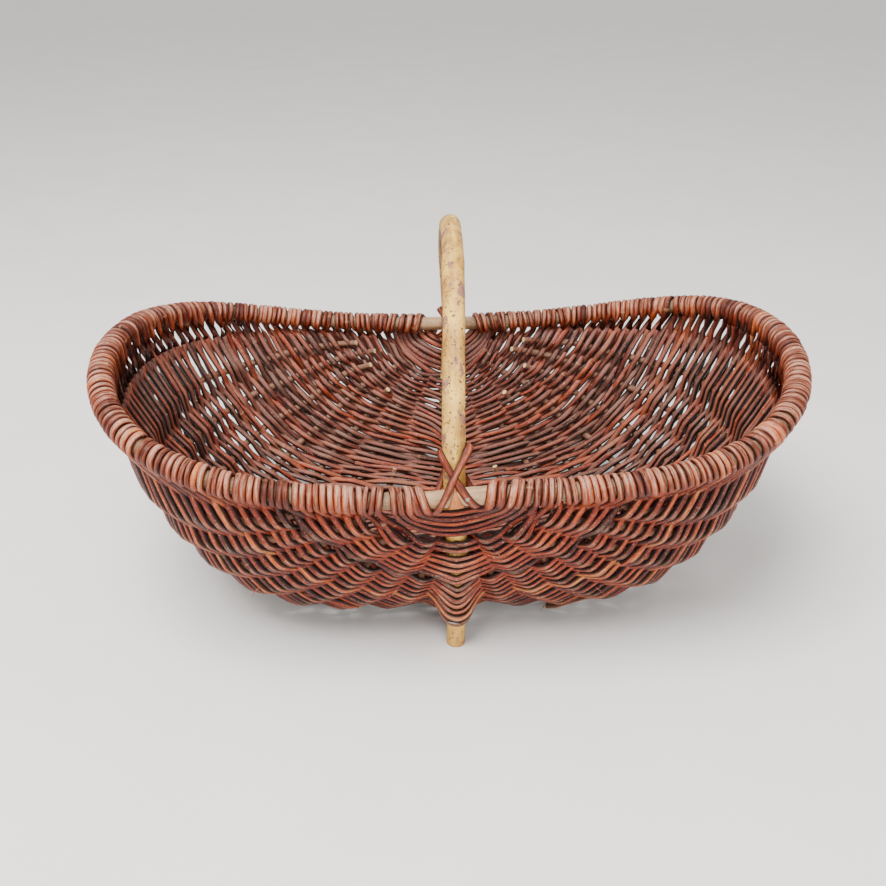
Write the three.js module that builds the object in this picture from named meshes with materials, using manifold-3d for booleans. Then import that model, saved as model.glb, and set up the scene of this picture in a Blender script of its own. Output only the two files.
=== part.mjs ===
// A frame basket for the harvest: a bent rim rod, a bow handle whose two ends run down through the
// weave and stand out below as feet, ribs that run from one handle seat to the other under the basket,
// and willow strands woven across the ribs and bound round the rim.
// Millimetres, +Z up, standing on z = 0. X is the long way, and the handle arches over the basket in Y.
import * as THREE from "three";
import { mergeVertices } from "three/addons/utils/BufferGeometryUtils.js";
import Module from "manifold-3d";

const wasm = await Module();
wasm.setup();
const { lerp } = THREE.MathUtils;

// Rim rod, measured on its axis
const rimHalfLength = 275;
const rimHalfWidth = 160;
const endRoundness = 5; // exponents of the rim's plan: 2 and 2 would be an ellipse
const sideRoundness = 2;
const rimMidHeight = 164;
const rimEndRise = 47; // how far the two ends sweep up
const rimRisePower = 2.6;
const rimRadius = 6.5;

// Bowl of the weave, measured on the axes of the ribs
const bellyLift = 0.8; // the belly hangs this far above the ground
const sideFullness = 4.2; // how squarely the front and back walls turn into the bottom
const endFullness = 5.4; // the same at the two ends

// Bow handle and its feet
const handleRadius = 8;
const footRadius = 7.3;
const footHalfSpread = 119; // from the middle of the basket to a foot
const bowRise = 139.5; // axis of the bow's top above the rim
const footShow = 17; // bare length of a foot below the weave

// Ribs
const ribRadius = 3.2;
const ribsPerSide = 7;
const middleSpace = 1.6; // the space beside the handle, in spaces between ribs
const rimSpace = 1.85; // the space below the rim, in the same
const keelHalfWidth = 45; // the weave is drawn down to the legs over this width

// Weave, laid out along each rib from the front seat at 0 to the back seat at 1
const seatStart = 0.044; // where the weave starts below the lashing
const ribsLetIn = 0.17; // where every second rib has been let in
const seatPart = 0.4; // share of the way to the let-in ribs that is laid straight over the first ones
const seatRows = 3; // rows that pass only the first ribs
const bandCount = 7; // lengths of weave past every rib
const rowsPerBand = 3;
const strandThickness = 3.6;
const strandFill = 0.78; // share of its row that a strand fills where it crosses a rib
const joinHalfWidth = 1.6; // strands lie side by side over this half width between two ribs
const legFlank = 0.8; // a strand turns in beside a leg at this share of the leg's radius
const headSpace = 0.006; // the first ribs start at least this far behind the first strands
const lateHead = 0.003; // a let-in rib starts this far behind its first strand

// Binding of the strands round the rim
const bindingStart = 0.03; // bare rod beside the handle, as a share of half the rim
const bindingThickness = 3;
const bindingRidge = 1.1;

// Lashing that ties the bow to the rim
const lashingWidth = 6;
const lashingThickness = 2;
const lashingBelow = 11.5; // reach of a lashing below the axis of the rim
const lashings = {
  front: { way: -1, above: 32, crossing: 14, spread: 11.5 }, // reach and crossing above that axis
  back: { way: 1, above: 24, crossing: 9, spread: 12 }, // and reach along it at the upper end
};

const clearance = 0.35; // between pieces that touch

// Fineness of the facets
const rimSides = 8;
const rimSpans = 24;
const handleSides = 11;
const bowSpans = 26;
const legSpans = 4;
const ribSides = 5;
const curveSamples = 240;

const ribOffset = ribRadius + clearance + strandThickness / 2; // a strand's middle beside a rib
const bowlFloor = bellyLift + strandThickness + clearance + ribRadius;
const legGap = rimRadius + handleRadius + clearance;
const legLean = Math.atan((rimHalfWidth - legGap - footHalfSpread) / rimMidHeight);
const legTop = rimHalfWidth - legGap / Math.cos(legLean);
const turnHeight = footShow + footRadius + clearance + strandThickness; // the leg leaves the weave here
const bindingRadius = rimRadius + clearance + bindingThickness + bindingRidge;
const rimColumn = ribsPerSide + 1;

const handleWood = new THREE.MeshStandardMaterial({ color: 0xb9a283, roughness: 0.75, metalness: 0 });
const rimWood = new THREE.MeshStandardMaterial({ color: 0x9a8468, roughness: 0.8, metalness: 0 });
const ribBark = new THREE.MeshStandardMaterial({ color: 0x7d6a5a, roughness: 0.85, metalness: 0 });
const willowBark = new THREE.MeshStandardMaterial({ color: 0x7a4028, roughness: 0.6, metalness: 0 });
const bindingBark = new THREE.MeshStandardMaterial({ color: 0x9a5a38, roughness: 0.6, metalness: 0 });
const lashingBark = new THREE.MeshStandardMaterial({ color: 0xa98a66, roughness: 0.7, metalness: 0 });

function vec(x, y, z) {
  return new THREE.Vector3(x, y, z);
}

function geometryOf(points, index) {
  let volume = 0;
  for (let i = 0; i < index.length; i += 3) {
    const across = points[index[i + 1]].clone().cross(points[index[i + 2]]);
    volume += points[index[i]].dot(across);
  }
  if (volume < 0) index.reverse();
  const geometry = new THREE.BufferGeometry().setFromPoints(points);
  geometry.setIndex(index);
  return geometry;
}

// A closed solid through rings of equal count, capped at both ends or joined end to end
function loft(rings, looped = false) {
  const count = rings[0].length;
  const index = [];
  const spans = looped ? rings.length : rings.length - 1;
  for (let i = 0; i < spans; i++) {
    const a = i * count;
    const b = ((i + 1) % rings.length) * count;
    for (let j = 0; j < count; j++) {
      const k = (j + 1) % count;
      index.push(a + j, a + k, b + k, a + j, b + k, b + j);
    }
  }
  if (!looped) {
    const last = (rings.length - 1) * count;
    const across = (j) => (j % 2 ? count - (j + 1) / 2 : j / 2);
    for (let j = 0; j < count - 2; j++) {
      const a = across(j);
      const b = across(j % 2 ? j + 1 : j + 2);
      const c = across(j % 2 ? j + 2 : j + 1);
      index.push(a, c, b, last + a, last + b, last + c);
    }
  }
  return geometryOf(rings.flat(), index);
}

function ring(centre, side, up, radius, sides) {
  const points = [];
  for (let i = 0; i < sides; i++) {
    const angle = ((i + 0.5) / sides) * 2 * Math.PI;
    const point = centre.clone().addScaledVector(side, radius * Math.cos(angle));
    points.push(point.addScaledVector(up, radius * Math.sin(angle)));
  }
  return points;
}

// A round bar along points, with its rings square to them
function bar(points, radiusAt, sides, sideways) {
  const rings = points.map((point, i) => {
    const before = points[Math.max(i - 1, 0)];
    const after = points[Math.min(i + 1, points.length - 1)];
    const along = after.clone().sub(before).normalize();
    const side = sideways(i).clone().addScaledVector(along, -sideways(i).dot(along)).normalize();
    const up = side.clone().cross(along);
    return ring(point, side, up, radiusAt(i), sides);
  });
  return loft(rings);
}

function solidOf(geometry) {
  const plain = geometry.clone();
  plain.deleteAttribute("normal");
  plain.deleteAttribute("uv");
  const merged = mergeVertices(plain, 1e-5);
  const vertProperties = new Float32Array(merged.attributes.position.array);
  const triVerts = new Uint32Array(merged.index.array);
  return new wasm.Manifold(new wasm.Mesh({ numProp: 3, vertProperties, triVerts }));
}

function cut(geometry, cutter) {
  const mesh = solidOf(geometry).subtract(solidOf(cutter)).getMesh();
  const result = new THREE.BufferGeometry();
  result.setAttribute("position", new THREE.BufferAttribute(new Float32Array(mesh.vertProperties), 3));
  result.setIndex(new THREE.BufferAttribute(new Uint32Array(mesh.triVerts), 1));
  return result;
}

// Rim: plan and height
function rimHeight(x) {
  return rimMidHeight + rimEndRise * Math.pow(Math.abs(x) / rimHalfLength, rimRisePower);
}

function rimPoint(angle) {
  const x = rimHalfLength * Math.pow(Math.max(Math.cos(angle), 0), 2 / endRoundness);
  const y = rimHalfWidth * Math.sign(angle) * Math.pow(Math.abs(Math.sin(angle)), 2 / sideRoundness);
  return vec(x, y, rimHeight(x));
}

// How far out a place in plan lies: 0 at the middle of the basket, 1 on the rim
function reachAt(x, y) {
  let low = 0;
  let high = 1.2;
  for (let turn = 0; turn < 40; turn++) {
    const reach = (low + high) / 2;
    const long = Math.pow(Math.abs(x) / (reach * rimHalfLength), endRoundness);
    const wide = Math.pow(Math.abs(y) / (reach * rimHalfWidth), sideRoundness);
    if (long + wide > 1) low = reach;
    else high = reach;
  }
  return high;
}

// Bowl: height of the ribs' surface over the ground
function bowlHeight(x, y) {
  const reach = reachAt(x, y);
  const rimX = Math.min(Math.abs(x) / reach, rimHalfLength);
  const fullness = lerp(sideFullness, endFullness, Math.pow(rimX / rimHalfLength, 2));
  return bowlFloor + (rimHeight(rimX) - bowlFloor) * Math.pow(reach, fullness);
}

// A run of points that can be asked for the place at a share of its length
function measured(points) {
  const lengths = [0];
  for (let i = 1; i < points.length; i++) {
    lengths.push(lengths[i - 1] + points[i].distanceTo(points[i - 1]));
  }
  const total = lengths[lengths.length - 1];
  return function at(share) {
    const wanted = share * total;
    let i = 1;
    while (i < points.length - 1 && lengths[i] < wanted) i++;
    const part = (wanted - lengths[i - 1]) / (lengths[i] - lengths[i - 1]);
    return points[i - 1].clone().lerp(points[i], part);
  };
}

// Middle line: down the front leg, in under the belly and up the back leg
function legPoint(z, way) {
  return vec(0, way * lerp(footHalfSpread, legTop, z / rimMidHeight), z);
}

function middleCurve() {
  const straight = [1, 0.67, 0.2, 0]; // places on the leg, as shares of its height above the turn
  const turn = [
    [0.82, 0.36], // spread as a share of the feet's, height as a share of the turn's
    [0.6, 0.1],
    [0.3, 0],
  ];
  const half = [
    ...straight.map((share) => legPoint(lerp(turnHeight, rimMidHeight, share), -1)),
    ...turn.map(([spread, height]) => vec(0, -spread * footHalfSpread, lerp(bowlFloor, turnHeight, height))),
  ];
  const back = half.map((p) => vec(0, -p.y, p.z)).reverse();
  const curve = new THREE.CatmullRomCurve3([...half, vec(0, 0, bowlFloor), ...back]);
  return measured(curve.getPoints(curveSamples));
}

// Half of the rim from the front seat to the back seat, on the right
function rimCurve() {
  const points = [];
  for (let i = 0; i <= curveSamples; i++) {
    const way = -1 + (2 * i) / curveSamples;
    points.push(rimPoint((Math.PI / 2) * Math.sin((Math.PI / 2) * way)));
  }
  return measured(points);
}

const rimAt = rimCurve();
const middleAt = middleCurve();
const courses = new Map();

// The course of a strand on the right: from the middle line up the bowl to the rim
function course(share) {
  if (courses.has(share)) return courses.get(share);
  const low = middleAt(share);
  const high = rimAt(share);
  const keelDepth = low.z - bowlHeight(low.x, low.y);
  const keel = Math.min(keelHalfWidth, high.x);
  const steps = 28;
  const points = [];
  for (let i = 0; i <= steps; i++) {
    const point = low.clone().lerp(high, i / steps);
    const inKeel = Math.max(1 - point.x / Math.max(keel, 1e-6), 0);
    point.z = bowlHeight(point.x, point.y) + keelDepth * inKeel * inKeel;
    points.push(point);
  }
  const at = measured(points);
  courses.set(share, at);
  return at;
}

// Place at a signed part of the way from the middle line to the rim, with the direction out of the weave
function spot(part, share) {
  const out = Math.abs(part);
  const point = course(share)(out);
  const step = 0.004;
  const ahead = course(share + step)(out);
  const along = ahead.sub(course(share - step)(out)).normalize();
  let outward = vec(0, along.z, -along.y);
  if (out > 1e-6) {
    const across = course(share)(Math.min(out + step, 1)).sub(course(share)(out - step));
    outward = across.cross(along).normalize().negate();
  }
  if (outward.dot(vec(point.x, point.y, point.z - rimMidHeight)) < 0) outward.negate();
  if (part < 0) {
    point.x = -point.x;
    outward.x = -outward.x;
  }
  return { point, outward };
}

function columnPart(j) {
  if (j === 0) return 0;
  const spaces = ribsPerSide - 1 + middleSpace + rimSpace;
  if (Math.abs(j) === rimColumn) return Math.sign(j);
  return (Math.sign(j) * (Math.abs(j) - 1 + middleSpace)) / spaces;
}

// Place on column j at a share of the way from front to back
function station(j, share) {
  const place = spot(columnPart(j), share);
  place.radius = ribRadius;
  if (j === 0 && place.point.z > turnHeight) {
    place.radius = lerp(footRadius, handleRadius, place.point.z / rimMidHeight);
  }
  return place;
}

// A place between two columns, some way from the first towards the second
function between(j, k, share, part) {
  const a = station(j, share);
  const b = station(k, share);
  const outward = a.outward.clone().lerp(b.outward, part).normalize();
  return { point: a.point.clone().lerp(b.point, part), outward, span: a.point.distanceTo(b.point) };
}

// Distance from a point to the axis of the rim near a share of the way round
function rimDistance(point, share) {
  const window = 0.08;
  const steps = 16;
  const right = vec(Math.abs(point.x), point.y, point.z);
  let least = Infinity;
  for (let i = -steps; i <= steps; i++) {
    const near = Math.min(Math.max(share + (window * i) / steps, 0), 1);
    least = Math.min(least, right.distanceTo(rimAt(near)));
  }
  return least;
}

const reaches = new Map();

// Share of the way from a column to the rim where a strand meets the binding
function bindingReach(j, k, share) {
  const key = `${j} ${k} ${share}`;
  if (reaches.has(key)) return reaches.get(key);
  let reach = 1;
  while (rimDistance(between(j, k, share, reach).point, share) < bindingRadius + clearance) reach -= 0.01;
  reaches.set(key, reach);
  return reach;
}

// Where the strands lie side by side between two columns
function joinPart(j, k, share) {
  if (k === rimColumn) return bindingReach(j, k, share) / 2;
  if (j === -rimColumn) return 1 - bindingReach(k, j, share) / 2;
  return 0.5;
}

function lift(place, offset) {
  return place.point.clone().addScaledVector(place.outward, offset);
}

// Height of a strand's middle over a rib: its two straight flanks clear the rib all round
function humpOver(j, before, after, share) {
  const runs = [before, after].map((k) => {
    const part = k > j ? joinPart(j, k, share) : 1 - joinPart(k, j, share);
    return part * between(j, k, share, 0).span - joinHalfWidth;
  });
  const steepest = 1.2; // the shortest flank, in offsets
  const run = Math.max(Math.min(...runs), ribOffset * steepest);
  return (ribOffset * run) / Math.sqrt(run * run - ribOffset * ribOffset) + clearance / 2;
}

// Strands of one band, woven over and under the ribs and lying side by side between them
function weave(start, end, rows, every, firstSide) {
  const columns = [-rimColumn];
  for (let j = -ribsPerSide; j <= ribsPerSide; j++) {
    if (j % every === 0) columns.push(j);
  }
  columns.push(rimColumn);
  const points = [];
  const index = [];
  const half = strandThickness / 2;
  const gap = clearance / 2 / (2 * rimHalfLength);
  const rowShare = (row) => lerp(start + gap, end - gap, row / rows);
  function add(point) {
    points.push(point);
    return points.length - 1;
  }
  function quad(a, b, c, d) {
    index.push(a, b, c, a, c, d);
  }
  // a section is [outer low, outer high, inner high, inner low]
  function span(from, to) {
    for (let i = 0; i < 4; i++) {
      const k = (i + 1) % 4;
      quad(from[i], from[k], to[k], to[i]);
    }
  }
  const joins = [];
  for (let c = 0; c < columns.length - 1; c++) {
    const [j, k] = [columns[c], columns[c + 1]];
    const lines = [-1, 1].map((way) => {
      const line = [];
      for (let row = 0; row <= rows; row++) {
        const share = rowShare(row);
        const shift = (way * joinHalfWidth) / between(j, k, share, 0).span;
        const place = between(j, k, share, joinPart(j, k, share) + shift);
        line.push([add(lift(place, half)), add(lift(place, -half))]);
      }
      return line;
    });
    joins.push(lines);
    for (let row = 0; row < rows; row++) {
      const [a, b, c2, d] = [lines[0][row], lines[0][row + 1], lines[1][row + 1], lines[1][row]];
      quad(a[0], b[0], c2[0], d[0]);
      quad(a[1], d[1], c2[1], b[1]);
    }
    quad(lines[0][0][1], lines[0][0][0], lines[1][0][0], lines[1][0][1]);
    quad(lines[0][rows][0], lines[0][rows][1], lines[1][rows][1], lines[1][rows][0]);
  }
  const sectionOf = (line, row) => [line[row][0], line[row + 1][0], line[row + 1][1], line[row][1]];
  const inset = (1 - strandFill) / 2;
  function crossing(placeAt, row, offset) {
    const low = placeAt(lerp(rowShare(row), rowShare(row + 1), inset));
    const high = placeAt(lerp(rowShare(row), rowShare(row + 1), 1 - inset));
    const outer = [add(lift(low, offset + half)), add(lift(high, offset + half))];
    return [...outer, add(lift(high, offset - half)), add(lift(low, offset - half))];
  }
  for (let row = 0; row < rows; row++) {
    for (let c = 1; c < columns.length - 1; c++) {
      const side = (row + c + firstSide) % 2 ? 1 : -1;
      const from = sectionOf(joins[c - 1][1], row);
      const to = sectionOf(joins[c][0], row);
      const j = columns[c];
      if (j === 0) {
        const { radius } = station(0, rowShare(row + 0.5));
        const offset = side * (radius + clearance + half);
        const flank = (way) => (share) => {
          const place = station(0, share);
          place.point.x += way * radius * legFlank;
          return place;
        };
        const left = crossing(flank(-1), row, offset);
        const right = crossing(flank(1), row, offset);
        span(from, left);
        span(left, right);
        span(right, to);
      } else {
        const offset = side * humpOver(j, columns[c - 1], columns[c + 1], rowShare(row));
        const middle = crossing((share) => station(j, share), row, offset);
        span(from, middle);
        span(middle, to);
      }
    }
    for (const [line, j, k, outwards] of [
      [joins[0][0], columns[1], columns[0], false],
      [joins[joins.length - 1][1], columns[columns.length - 2], rimColumn, true],
    ]) {
      const end = crossing((share) => between(j, k, share, bindingReach(j, k, share)), row, 0);
      const from = sectionOf(line, row);
      if (outwards) {
        span(from, end);
        quad(end[0], end[1], end[2], end[3]);
      } else {
        span(end, from);
        quad(end[0], end[3], end[2], end[1]);
      }
    }
  }
  return geometryOf(points, index);
}

// First strands below the lashing: laid close over the handle and the heads of the first ribs
function seatWeave(start, end) {
  const spans = 2;
  const fans = 8;
  const half = strandThickness / 2;
  const gap = (4 * clearance) / (2 * rimHalfLength); // the courses run at a slant here
  const rings = [];
  for (let fan = -fans; fan <= fans; fan++) {
    const outer = [];
    const inner = [];
    for (let i = 0; i <= spans; i++) {
      const share = lerp(start + gap, end - gap, i / spans);
      const middle = station(0, share);
      let reach = 1;
      while (rimDistance(spot(reach, share).point, share) < bindingRadius + clearance) reach -= 0.01;
      const place = spot((fan / fans) * reach, share);
      const over = Math.max(middle.radius + clearance + half, ribOffset);
      const beside = Math.min(Math.abs(place.point.x) / (3 * handleRadius), 1); // eased in over this width
      const offset = lerp(over, ribOffset, beside);
      outer.push(lift(place, offset + half));
      inner.unshift(lift(place, offset - half));
    }
    rings.push([...outer, ...inner]);
  }
  return loft(rings);
}

function rib(j, start, end, spans) {
  const points = [];
  for (let i = 0; i <= spans; i++) {
    points.push(station(j, lerp(start, end, i / spans)).point);
  }
  const sideways = (i) => station(j, lerp(start, end, i / spans)).outward;
  return bar(points, () => ribRadius, ribSides, sideways);
}

// Stations of the rim rod and of its binding are the same, so that one fits in the other
function rimStations() {
  const shares = [0];
  for (let i = 0; i <= rimSpans; i++) {
    shares.push(lerp(bindingStart, 1 - bindingStart, i / rimSpans));
  }
  const right = shares.map((share) => rimAt(share));
  const left = right.slice(1).map((p) => vec(-p.x, p.y, p.z));
  return [...right, rimAt(1), ...left.reverse()];
}

const rimPoints = rimStations();

function rimRing(i, radius) {
  const count = rimPoints.length;
  const before = rimPoints[(i + count - 1) % count];
  const after = rimPoints[(i + 1) % count];
  const along = after.clone().sub(before).normalize();
  const side = along.clone().cross(vec(0, 0, 1)).normalize();
  return ring(rimPoints[i], side, side.clone().cross(along), radius, rimSides);
}

function rimRod() {
  return loft(rimPoints.map((_, i) => rimRing(i, rimRadius)), true);
}

function binding(first) {
  const outer = [];
  const inner = [];
  for (let i = 0; i <= rimSpans; i++) {
    const ridge = i % 2 ? bindingRidge : 0;
    outer.push(rimRing(first + i, rimRadius + clearance + bindingThickness + ridge));
    inner.unshift(rimRing(first + i, rimRadius + clearance));
  }
  return loft([...outer, ...inner], true);
}

function handlePoints() {
  let angle = legLean;
  let reach = legTop;
  let height = bowRise;
  for (let turn = 0; turn < 12; turn++) {
    reach = legTop / Math.cos(angle);
    height = bowRise / (1 + Math.sin(angle));
    angle = Math.atan((Math.tan(legLean) * height) / reach);
  }
  const points = [];
  for (let i = 0; i < legSpans; i++) points.push(legPoint((rimMidHeight * i) / legSpans, -1));
  for (let i = 0; i <= bowSpans; i++) {
    const turn = lerp(-angle, Math.PI + angle, i / bowSpans);
    const rise = rimMidHeight + height * (Math.sin(angle) + Math.sin(turn));
    points.push(vec(0, -reach * Math.cos(turn), rise));
  }
  for (let i = legSpans - 1; i >= 0; i--) points.push(legPoint((rimMidHeight * i) / legSpans, 1));
  return points;
}

function handle() {
  const points = handlePoints();
  const last = points.length - 1;
  const radiusAt = (i) => lerp(footRadius, handleRadius, Math.min(points[i].z / rimMidHeight, 1));
  const rings = points.map((point, i) => {
    if (i === 0 || i === last) {
      const deep = vec(0, Math.sign(point.y) / Math.cos(legLean), 0);
      return ring(point, deep, vec(1, 0, 0), footRadius, handleSides);
    }
    const along = points[i + 1].clone().sub(points[i - 1]).normalize();
    return ring(point, vec(0, -along.z, along.y), vec(1, 0, 0), radiusAt(i), handleSides);
  });
  return loft(rings);
}

// Room for a leg in the strands that it passes through
function legRoom(way) {
  const reach = [-0.06, 0.5]; // from below the sole up to the middle of the leg
  const grown = clearance / Math.cos(Math.PI / handleSides);
  const rings = reach.map((part) => {
    const point = legPoint(rimMidHeight * part, way);
    const radius = lerp(footRadius, handleRadius, part) + grown;
    const deep = vec(0, way / Math.cos(legLean), 0);
    return ring(point, deep, vec(1, 0, 0), radius, handleSides);
  });
  return loft(rings);
}

// One willow strip round the rim and the bow, tilted one way or the other
function lashing(place, tilt, layer) {
  const { way, crossing } = place;
  const outset = layer * (lashingThickness + clearance);
  const front = rimHalfWidth + rimRadius;
  const back = legTop - handleRadius;
  const lean = Math.atan2(place.spread, place.above - crossing);
  const above = (place.above - crossing) / Math.cos(lean) + outset;
  const below = (lashingBelow + crossing) / Math.cos(lean) + outset;
  const slack = 2.5 * clearance; // the strip's flat facets round off its bends
  const deep = (front - back) / 2 + slack + lashingThickness / 2 + outset;
  const along = vec(tilt * Math.sin(lean), 0, Math.cos(lean));
  const across = vec(tilt * Math.cos(lean), 0, -Math.sin(lean));
  const steps = 20;
  const squareness = 4;
  const nearby = 0.05; // the strip's direction is taken between two places this far to either side
  const rings = [];
  const pathAt = (turn) => {
    const c = Math.cos(turn);
    const s = Math.sin(turn);
    const u = Math.sign(c) * Math.pow(Math.abs(c), 2 / squareness);
    const w = Math.sign(s) * Math.pow(Math.abs(s), 2 / squareness);
    const centre = vec(0, (way * (front + back)) / 2, rimMidHeight + crossing);
    centre.addScaledVector(along, (above - below) / 2);
    centre.addScaledVector(along, (u * (above + below)) / 2);
    centre.addScaledVector(vec(0, way, 0), w * deep);
    const drop = Math.min(centre.z - rimMidHeight, 0);
    centre.y += (way * Math.tan(legLean) * drop * (1 - w)) / 2;
    return centre;
  };
  for (let i = 0; i < steps; i++) {
    const turn = ((i + 0.5) / steps) * 2 * Math.PI;
    const run = pathAt(turn + nearby).sub(pathAt(turn - nearby)).normalize();
    const out = run.clone().cross(across).normalize();
    const corners = [];
    for (const [a, b] of [[-1, -1], [1, -1], [1, 1], [-1, 1]]) {
      const corner = pathAt(turn).addScaledVector(across, (a * lashingWidth) / 2);
      corners.push(corner.addScaledVector(out, (b * lashingThickness) / 2));
    }
    rings.push(corners);
  }
  return loft(rings, true);
}

const basket = new THREE.Group();

function piece(name, geometry, material) {
  geometry.computeVertexNormals();
  const mesh = new THREE.Mesh(geometry, material);
  mesh.name = name;
  basket.add(mesh);
}

function addWeave() {
  const seatEnd = lerp(seatStart, ribsLetIn, seatPart);
  piece("weave_seat_front", seatWeave(seatStart, seatEnd), willowBark);
  piece("weave_seat_back", seatWeave(1 - seatEnd, 1 - seatStart), willowBark);
  piece("weave_front", weave(seatEnd, ribsLetIn, seatRows, 2, 0), willowBark);
  piece("weave_back", weave(1 - ribsLetIn, 1 - seatEnd, seatRows, 2, 0), willowBark);
  for (let b = 0; b < bandCount; b++) {
    const start = lerp(ribsLetIn, 1 - ribsLetIn, b / bandCount);
    const end = lerp(ribsLetIn, 1 - ribsLetIn, (b + 1) / bandCount);
    let band = weave(start, end, rowsPerBand, 1, (b * rowsPerBand) % 2);
    if (b < bandCount / 2 - 1) band = cut(band, legRoom(-1));
    if (b > bandCount / 2) band = cut(band, legRoom(1));
    piece(`weave_band_${b + 1}`, band, willowBark);
  }
}

// Where a first rib starts: as soon as it is clear of the binding
function ribHead(j) {
  const room = bindingRadius + clearance + ribRadius;
  let share = seatStart + headSpace;
  while (rimDistance(station(j, share).point, share) < room) share += 0.001;
  return share;
}

// Where the middle rib starts under the belly: as soon as it is clear of the leg's foot
function middleRibHead() {
  const room = (footRadius + clearance + ribRadius) / Math.cos(legLean);
  let share = seatStart;
  let point = middleAt(share);
  while (point.z > turnHeight || legPoint(point.z, 1).y + point.y < room) {
    share += 0.001;
    point = middleAt(share);
  }
  return share;
}

function addRibs() {
  const bandSpans = bandCount * rowsPerBand;
  const head = middleRibHead();
  piece("rib_middle", rib(0, head, 1 - head, Math.round(bandSpans / 2)), ribBark);
  const late = ribsLetIn + lateHead;
  for (const way of [-1, 1]) {
    for (let j = 1; j <= ribsPerSide; j++) {
      const start = j % 2 ? late : ribHead(j);
      const spans = j % 2 ? bandSpans : bandSpans + 2 * seatRows;
      const side = way < 0 ? "left" : "right";
      piece(`rib_${side}_${j}`, rib(way * j, start, 1 - start, spans), ribBark);
    }
  }
}

piece("rim", rimRod(), rimWood);
piece("handle", handle(), handleWood);
addRibs();
addWeave();
piece("rim_binding_right", binding(1), bindingBark);
piece("rim_binding_left", binding(rimSpans + 3), bindingBark);
for (const [name, place] of Object.entries(lashings)) {
  piece(`lashing_${name}_1`, lashing(place, -1, 0), lashingBark);
  piece(`lashing_${name}_2`, lashing(place, 1, 1), lashingBark);
}

export default basket;
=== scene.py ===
# A wicker harvest basket: willow rods woven over bent ribs and bound round an oblong rim, with a bow
# handle whose two ends run down through the weave and stand out below as feet.
# Shapes are worked out in millimetres and made in metres, in the frame's own axes.
import bpy
import numpy as np
from collections import namedtuple
from math import atan, cos, pi, radians, sin, tan
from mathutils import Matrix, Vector


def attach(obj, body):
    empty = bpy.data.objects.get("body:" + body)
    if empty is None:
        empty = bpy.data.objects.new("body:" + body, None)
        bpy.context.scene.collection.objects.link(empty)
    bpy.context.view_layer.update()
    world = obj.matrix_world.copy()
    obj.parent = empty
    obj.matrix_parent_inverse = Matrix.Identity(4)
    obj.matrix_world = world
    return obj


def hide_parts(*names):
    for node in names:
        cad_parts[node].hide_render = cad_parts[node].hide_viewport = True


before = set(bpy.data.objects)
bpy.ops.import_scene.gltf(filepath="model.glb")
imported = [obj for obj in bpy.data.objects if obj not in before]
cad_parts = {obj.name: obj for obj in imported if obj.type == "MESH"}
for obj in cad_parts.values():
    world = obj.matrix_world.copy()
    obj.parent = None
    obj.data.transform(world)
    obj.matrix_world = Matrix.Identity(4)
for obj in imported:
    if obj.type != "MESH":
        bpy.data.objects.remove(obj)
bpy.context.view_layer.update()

rng = np.random.default_rng(41)
millimetre = 0.001

rim = {
    "halfLength": 275.0,
    "halfWidth": 160.0,
    "endRoundness": 5.0,  # exponents of the plan: 2 and 2 would be an ellipse
    "sideRoundness": 2.0,
    "midHeight": 164.0,
    "endRise": 47.0,
    "risePower": 2.6,
    "radius": 6.5,
    "places": 361,  # along one half, from the front seat to the end of the basket
    "rings": 420,
    "sides": 16,
    "swellings": ((0.02, 14, 0), (0.02, 5, 1)),
    "bare": 22.0,  # the binding leaves this much bare to each side of the handle
    "bareEdge": 6.0,
}
bowl = {
    "floor": 7.95,  # height of the ribs' middle over the ground at the belly
    "sideFullness": 4.2,
    "endFullness": 5.4,
    "keelHalfWidth": 45.0,
    "legHalfWidth": 27.0,  # the weave stands out over the handle's ends this far to each side
    "stepUp": 11.0,  # and beside them it is this much higher
    "proud": 20.0,  # where the wall stands this far out, the weave closes in on the legs
    "even": 0.4,  # how far the courses are spaced evenly along each rib
    "courses": 401,
    "columns": 97,
    "places": 121,  # along a course before it is shared out
    "wallPlaces": 200,  # up the middle of the wall, for the search of a height
    "smoothings": 6,
}
bow = {
    "radius": 8.0,
    "footRadius": 7.3,
    "footHalfSpread": 119.0,
    "rise": 139.5,
    "legTop": 143.98,  # leg's axis from the middle at the height of the rim
    "turnHeight": 28.25,  # the weave leaves the leg here
    "onLeg": (0.7, 0.2),  # two places above the turn, as shares of the height over the ground and over it
    "underBelly": ((0.82, 0.36), (0.6, 0.1), (0.3, 0.0)),  # shares of the spread and of the turn's height
    "knots": (96.0, 205.0, 340.0, 455.0, 610.0),
    "knotLength": 7.0,
    "knotSize": 0.35,
    "swellings": ((0.012, 0.021, 0), (0.01, 0.055, 2)),
    "sway": ((0.6, 0.011, 0), (0.3, 0.031, 1)),
    "trueEnds": 120.0,  # over this length from its ends the sway sets in
    "archPlaces": 140,
    "legPlaces": 50,
    "sides": 28,
    "sawn": 0.4,  # all below this is flat on the ground
}
ribs = {
    "radius": 3.2,
    "perSide": 7,
    "middleSpace": 1.6,  # space beside the handle, in spaces between ribs
    "rimSpace": 1.85,
    "firstHead": 0.07,
    "letIn": 0.173,  # where every second rib starts
    "tucked": 0.022,  # ends of the others, hidden under the rods
    "lateOuter": 0.02,  # and the outermost of them starts this much later
    "backEnds": {  # where every second rib ends before the back seat
        -1: {1: 0.3, 3: 0.15, 5: 0.134, 7: 0.13},
        1: {1: 0.3, 3: 0.165, 5: 0.15, 7: 0.12},
    },
    "middle": (0.29, 0.71),
    "taper": 0.04,  # ends narrow and sink inwards over this share
    "sink": 7.0,
    "sinkAtSeat": 2.0,
    "waves": ((0.6, 40, 21), (0.4, 91, 9)),  # to the sides; a rib's part shifts them by the last number
    "swelling": (0.03, 57, 30),
    "endSize": (0.8, 0.2),  # at the ends, and how much more beyond them
    "places": 170,
    "sides": 12,
}
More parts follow.
